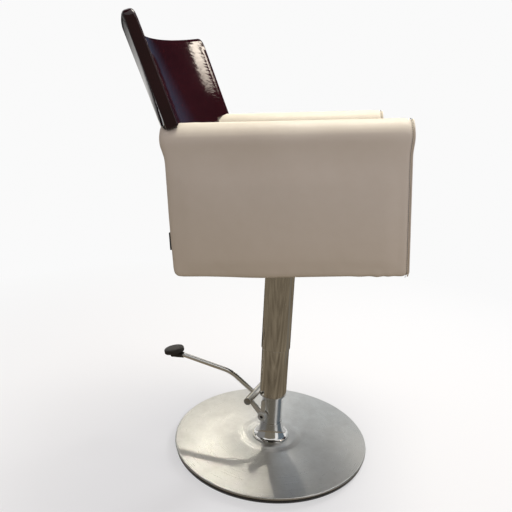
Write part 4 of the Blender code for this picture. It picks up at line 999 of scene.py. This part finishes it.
def build_hub_screw(side):
    """Domed socket screw on the end of the pump shaft, with a black hexagon in its shallow hole as painted
    shade for a deep socket.
    """
    face, head, high, hole = 0.0425 + GAP, 0.0112, 0.0034, 0.0048
    shank, shank_l, dome = 0.0040, 0.0100, 0.0016
    floor = face + 0.0006
    outward = PEDAL @ Matrix.Rotation(math.pi / 2 * (1 if side == "left" else -1), 4, "X")
    screw = [(0, face - shank_l), (shank, face - shank_l), (shank, face), (head, face)]
    screw += arc((head - dome, face + high - dome), dome, 0, 90, 5)
    screw += [(hole + 0.0003, face + high), (hole, face + high - 0.0004), (hole, floor), (0, floor)]
    screw = turned(f"hub_screw_{side}", screw, 48)
    finish_piece(screw, BRIGHT_STEEL, "pedal", [f"cheek_screw_{side}"], outward)
    # Painted shade: a black hexagonal disc at the bottom of the shallow hole stands in for the shade deep in
    # the socket.
    shade, shade_top = hole - 0.0002, floor + 0.0012
    socket = [(0, floor), (shade, floor), (shade, shade_top), (0, shade_top)]
    socket = turned(f"hub_socket_painted_shade_{side}", socket, 6)
    finish_piece(socket, BLACK_PAINT, "pedal", place=outward)


def rounded_path(points, radii, steps):
    """Points of a path whose inner corners are rounded to the given radii."""
    path = [points[0]]
    for before, corner, after, radius in zip(points, points[1:], points[2:], radii):
        back = (before - corner).normalized()
        ahead = (after - corner).normalized()
        half = back.angle(ahead) / 2
        first = corner + back * (radius / math.tan(half))
        centre = corner + (back + ahead).normalized() * (radius / math.sin(half))
        axis = back.cross(ahead).normalized()
        for k in range(steps + 1):
            turn = Matrix.Rotation(-(math.pi - 2 * half) * k / steps, 3, axis)
            path.append(centre + turn @ (first - centre))
    return path + [points[-1]]


def build_foot_pad(place):
    """Moulded rubber pad on its steel disc."""
    radius, thick, edge, foot = 0.0283, PAD_T, 0.0040, 0.0015
    room_r, room_h = 0.0203, 0.0028
    pad = [(0, room_h), (room_r, room_h), (room_r, 0)]
    pad += arc((radius - foot, foot), foot, -90, 0, 4)
    pad += arc((radius - edge, thick - edge - 0.0004), edge, 0, 78, 10)
    pad += [(radius - 0.0052, thick - 0.0002), (radius - 0.0062, thick - 0.0007)]
    pad += [(radius - 0.0070, thick - 0.0007), (radius - 0.0080, thick - 0.0001), (0.010, thick), (0, thick)]
    finish_piece(turned("foot_pad", pad, 96), RUBBER, "pedal", ["pedal_pad"], place)
    plate_r, plate_h = 0.0200, 0.0025
    plate = [(0, 0), (plate_r - 0.0004, 0), (plate_r, 0.0004), (plate_r, plate_h), (0, plate_h)]
    plate = turned("foot_pad_plate", plate, 72)
    finish_piece(plate, STEEL, "pedal", ["pad_plate"], place)


def build_rear_plate():
    """Small bare black plate on the rear end of the right arm."""
    bm = bmesh.new()
    bmesh.ops.create_cube(bm, size=1.0)
    bmesh.ops.scale(bm, vec=(0.0070, 0.034, 0.036), verts=bm.verts)
    plate = mesh_object("rear_plate", bm)
    soften(plate, 0.0012, 3)
    z = 0.0735
    x = arm_end(z, False) - 0.0016
    finish_piece(plate, BLACK_PLASTIC, "seat",
                 place=SEAT @ Matrix.Translation((x, -ARM_Y, z)), crease=40)


def paint_nodes():
    """Better finishes on the CAD pieces that stay."""
    finishes = {"steel": STEEL, "bronze": BRONZE, "rubber": RUBBER, "chrome": CHROME, "plywood": PLYWOOD,
                "black_board": BOARD, "black_paint": BLACK_PAINT, "black_plastic": BLACK_PLASTIC}
    for part in frame["record"]["subparts"]:
        node = frame["nodes"].get(part["node"])
        if node and part["material_slot"] in finishes:
            node.data.materials.clear()
            node.data.materials.append(finishes[part["material_slot"]])


# Studio

BACKDROP = (0.955, 0.955, 0.955)


def emission(name, color):
    material = bpy.data.materials.new(name)
    material.use_nodes = True
    tree = material.node_tree
    tree.nodes.clear()
    glow = wire(tree, "ShaderNodeEmission", {"Color": (*color, 1)})
    wire(tree, "ShaderNodeOutputMaterial", {"Surface": glow.outputs[0]})
    return material


def one_sided(material):
    """Let what lies behind a card see through it."""
    tree = material.node_tree
    back = wire(tree, "ShaderNodeNewGeometry").outputs["Backfacing"]
    clear = wire(tree, "ShaderNodeBsdfTransparent")
    mix = wire(tree, "ShaderNodeMixShader", {0: back, 1: tree.nodes["Emission"].outputs[0],
                                             2: clear.outputs[0]})
    tree.links.new(mix.outputs[0], tree.nodes["Material Output"].inputs["Surface"])
    return material


def card_of(name, corners, material):
    """A studio card that only reflections show."""
    mesh = bpy.data.meshes.new(name)
    mesh.from_pydata(corners, [], [(0, 1, 2, 3)])
    card = link(name, mesh)
    card.data.materials.append(material)
    card.visible_camera = False
    card.visible_diffuse = False
    card.visible_shadow = False


def corners_at(axis, level, first, second):
    """Corners of a rectangle across an axis, from its ranges along the other two."""
    corners = []
    for a, b in ((0, 0), (1, 0), (1, 1), (0, 1)):
        corner = [first[a], second[b]]
        corner.insert("xyz".index(axis), level)
        corners.append(corner)
    return corners


def plain_card(name, axis, level, first, second, color):
    card_of(name, corners_at(axis, level, first, second), emission(name, color))


def floor_patch(name, across, along, color):
    """A patch of another tone on the ring of floor."""
    card_of(name, corners_at("z", 0.003, across, along), one_sided(emission(name, color)))


def fading_card(name, corners, color, axis, clear, full):
    """A card whose glow grows along an axis from none to its colour."""
    material = emission(name, color)
    tree = material.node_tree
    reach = wire(tree, "ShaderNodeVectorMath", {0: object_point(tree), 1: axis}, operation="DOT_PRODUCT")
    tree.links.new(remap(tree, reach.outputs["Value"], clear, full, 0.0, 1.0),
                   tree.nodes["Emission"].inputs["Strength"])
    card_of(name, corners, material)


def seen_directly(tree):
    """1 for the camera's rays, for reflections and through clear things, or else 0."""
    path = wire(tree, "ShaderNodeLightPath")
    seen = math_node(tree, "MAXIMUM", path.outputs["Is Camera Ray"], path.outputs["Is Glossy Ray"])
    return math_node(tree, "MAXIMUM", seen, path.outputs["Is Transmission Ray"])


def build_floor():
    """Pale floor that keeps the chair's shadow and runs into the backdrop without an edge."""
    bm = bmesh.new()
    bmesh.ops.create_circle(bm, cap_ends=True, segments=96, radius=40.0)
    floor = mesh_object("floor", bm)
    material, tree, shader = new_finish("pale_floor", (0.78, 0.79, 0.80), 0.9, Specular_IOR_Level=0.1)
    point = wire(tree, "ShaderNodeTexCoord").outputs["Object"]
    reach = wire(tree, "ShaderNodeVectorMath", {0: point}, operation="LENGTH").outputs["Value"]
    far = remap(tree, reach, 0.6, 1.8, 0.56, 1.0)
    factor = math_node(tree, "MULTIPLY", seen_directly(tree), far)
    glow = wire(tree, "ShaderNodeEmission", {"Color": (*BACKDROP, 1)})
    mix = wire(tree, "ShaderNodeMixShader", {0: factor, 1: shader.outputs[0], 2: glow.outputs[0]})
    tree.links.new(mix.outputs[0], tree.nodes["Material Output"].inputs["Surface"])
    floor.data.materials.append(material)


def build_world():
    """White backdrop for the camera and the reflections, an even sky for everything else."""
    world = bpy.data.worlds.new("studio")
    bpy.context.scene.world = world
    world.use_nodes = True
    tree = world.node_tree
    tree.nodes.clear()
    sky = wire(tree, "ShaderNodeBackground", {"Color": (1.06, 0.94, 0.98, 1), "Strength": 0.395})
    white = wire(tree, "ShaderNodeBackground", {"Color": (*BACKDROP, 1)})
    mix = wire(tree, "ShaderNodeMixShader", {0: seen_directly(tree), 1: sky.outputs[0], 2: white.outputs[0]})
    wire(tree, "ShaderNodeOutputWorld", {"Surface": mix.outputs[0]})


def area_light(name, place, aim, size, power, color=(1, 1, 1), glossy=True):
    light = bpy.data.lights.new(name, "AREA")
    light.shape = "RECTANGLE"
    light.size, light.size_y = size
    light.energy = power
    light.color = color
    lamp = link(name, light)
    lamp.location = place
    lamp.rotation_euler = (Vector(aim) - Vector(place)).to_track_quat("-Z", "Y").to_euler()
    lamp.visible_camera = False
    lamp.visible_glossy = glossy


def build_lights():
    """Two lamps from behind, a soft one overhead and a weak fill from the near right."""
    area_light("window_right", (1.62, 2.30, 2.10), (-0.25, 0.2, 0.95), (0.7, 1.3), 50, glossy=False)
    area_light("low_sun", (-0.64, 2.26, 2.10), (-0.12, -0.10, 0.03), (0.09, 0.09), 4.0, (1.0, 0.93, 0.80))
    area_light("overhead", (0.25, 0.45, 3.0), (0, 0, 0), (1.2, 1.2), 55, (1.0, 0.955, 0.85))
    area_light("side_fill", (1.25, -1.25, 1.15), (0.25, -0.3, 0.75), (0.6, 0.6), 3.4, (0.97, 0.90, 1.0),
               glossy=False)


def brown_glow():
    """Glow in two mottled browns."""
    material = emission("brown_glow", (0.20, 0.165, 0.12))
    tree = material.node_tree
    tone = noise_value(tree, object_point(tree, (1.0, 3.0, 1.0)), 2.2, 5.0, 0.65)
    color = blend_color(tree, remap(tree, tone, 0.36, 0.66, 0.0, 1.0), (0.115, 0.093, 0.066),
                        (0.285, 0.238, 0.175))
    tree.links.new(color, tree.nodes["Emission"].inputs["Color"])
    return one_sided(material)


def floor_ring(name, inner, outer, height):
    """Ring of brown floor round the base, for reflections and bounced light."""
    steps = 64
    bm = bmesh.new()
    rings = []
    for radius in (inner, outer):
        rings.append([bm.verts.new((radius * math.cos(2 * math.pi * k / steps),
                                    radius * math.sin(2 * math.pi * k / steps), height))
                      for k in range(steps)])
    for k in range(steps):
        n = (k + 1) % steps
        bm.faces.new((rings[0][k], rings[1][k], rings[1][n], rings[0][n]))
    ring = mesh_object(name, bm)
    ring.data.materials.append(brown_glow())
    ring.visible_camera = False
    ring.visible_shadow = False


def build_cards():
    """What the polished pieces reflect; the camera sees none of it."""
    far = 1.05
    blue = [(x, 1.045, z) for x, z in ((-0.55, 0.86), (0.38, 1.05), (-0.05, 1.34), (-0.4, 1.34))]
    pane = [(x, 1.04, z) for x, z in ((0.52, 1.34), (0.65, 1.38), (0.57, 1.72), (0.41, 1.66))]
    back_color = (0.80, 0.79, 0.77)
    floor_ring("floor_card", 0.262, 4.0, 0.002)
    floor_patch("floor_behind", (-0.55, 0.35), (0.42, 4.0), (0.012, 0.011, 0.010))
    floor_patch("floor_beside", (0.5, 1.7), (0.05, 0.42), (0.20, 0.180, 0.150))
    plain_card("far_card", "y", far, (-0.6, 1.6), (0.98, 2.4), (0.020, 0.013, 0.017))
    fading_card("blue_card", blue, (0.055, 0.100, 0.165), (0.559, 0, 0.829), 1.090, 0.90)
    fading_card("window_pane", pane, (11.5, 10.3, 8.8), (0, 0, 1), 1.33, 1.55)
    fading_card("back_low_card", corners_at("y", far, (-2.2, -0.75), (0.60, 0.86)), back_color, (0, 0, 1),
                0.69, 0.86)
    fading_card("back_high_card", corners_at("y", far, (-2.2, -0.75), (0.86, 1.3)), back_color, (0, 0, -1),
                -1.12, -0.86)
    for card in (("ceiling_card", "z", 2.6, (-2.2, -0.6), (-0.8, 0.6), (0.02, 0.018, 0.017)),
                 ("warm_card", "y", 0.9, (-0.66, -0.13), (0.33, 0.97), (0.72, 0.68, 0.58)),
                 ("far_low_card", "y", far, (-0.15, 0.5), (0.78, 0.98), (0.45, 0.46, 0.47)),
                 ("right_card", "y", 1.6, (-0.05, 1.1), (0.85, 1.35), (0.50, 0.52, 0.52)),
                 ("right_low_card", "y", 1.6, (-0.05, 1.1), (0.35, 0.85), (0.70, 0.72, 0.72)),
                 ("near_card", "y", -2.4, (-2.3, 2.3), (0.0, 3.0), (0.20, 0.18, 0.145)),
                 ("left_card", "x", -2.3, (-2.4, 1.0), (0.0, 3.0), (0.25, 0.25, 0.25)),
                 ("cool_card", "x", 2.3, (-0.9, 1.5), (0.0, 3.0), (0.15, 0.19, 0.23))):
        plain_card(*card)


def build_camera():
    """Camera at the photograph's angle."""
    camera = bpy.data.cameras.new("camera")
    camera.lens = 40.43
    camera.sensor_width = 36.0
    eye = link("camera", camera)
    forward = Vector((-0.0935, 0.9571, -0.2743)).normalized()
    right = Vector((0.9931, 0.1098, 0.0474)).normalized()
    up = right.cross(forward).normalized()
    turn = Matrix((right, up, -forward)).transposed().to_4x4()
    eye.matrix_world = Matrix.Translation((0.0716, -1.3938, 0.9286)) @ turn
    bpy.context.scene.camera = eye


def main():
    bpy.context.scene.view_settings.view_transform = "Standard"
    build_camera()
    build_world()
    build_lights()
    build_floor()
    build_cards()
    paint_nodes()
    build_base()
    build_column()
    build_pedal()
    build_back()
    build_arms()
    build_cushion()
    board_front = ARM_FRONT - 0.035
    build_bar("front_bar", "front_apron", (board_front + GAP, -INSIDE_Y, 0.0),
              (ARM_FRONT - 0.005, INSIDE_Y, BOARD_TOP), radius=0.010, seed=5)
    build_bar("rear_bar", "rear_rail", (ARM_REAR + 0.004, -INSIDE_Y, 0.0),
              (ARM_REAR + 0.030, INSIDE_Y, 0.0395), radius=0.007, seed=6)
    build_rear_plate()


main()
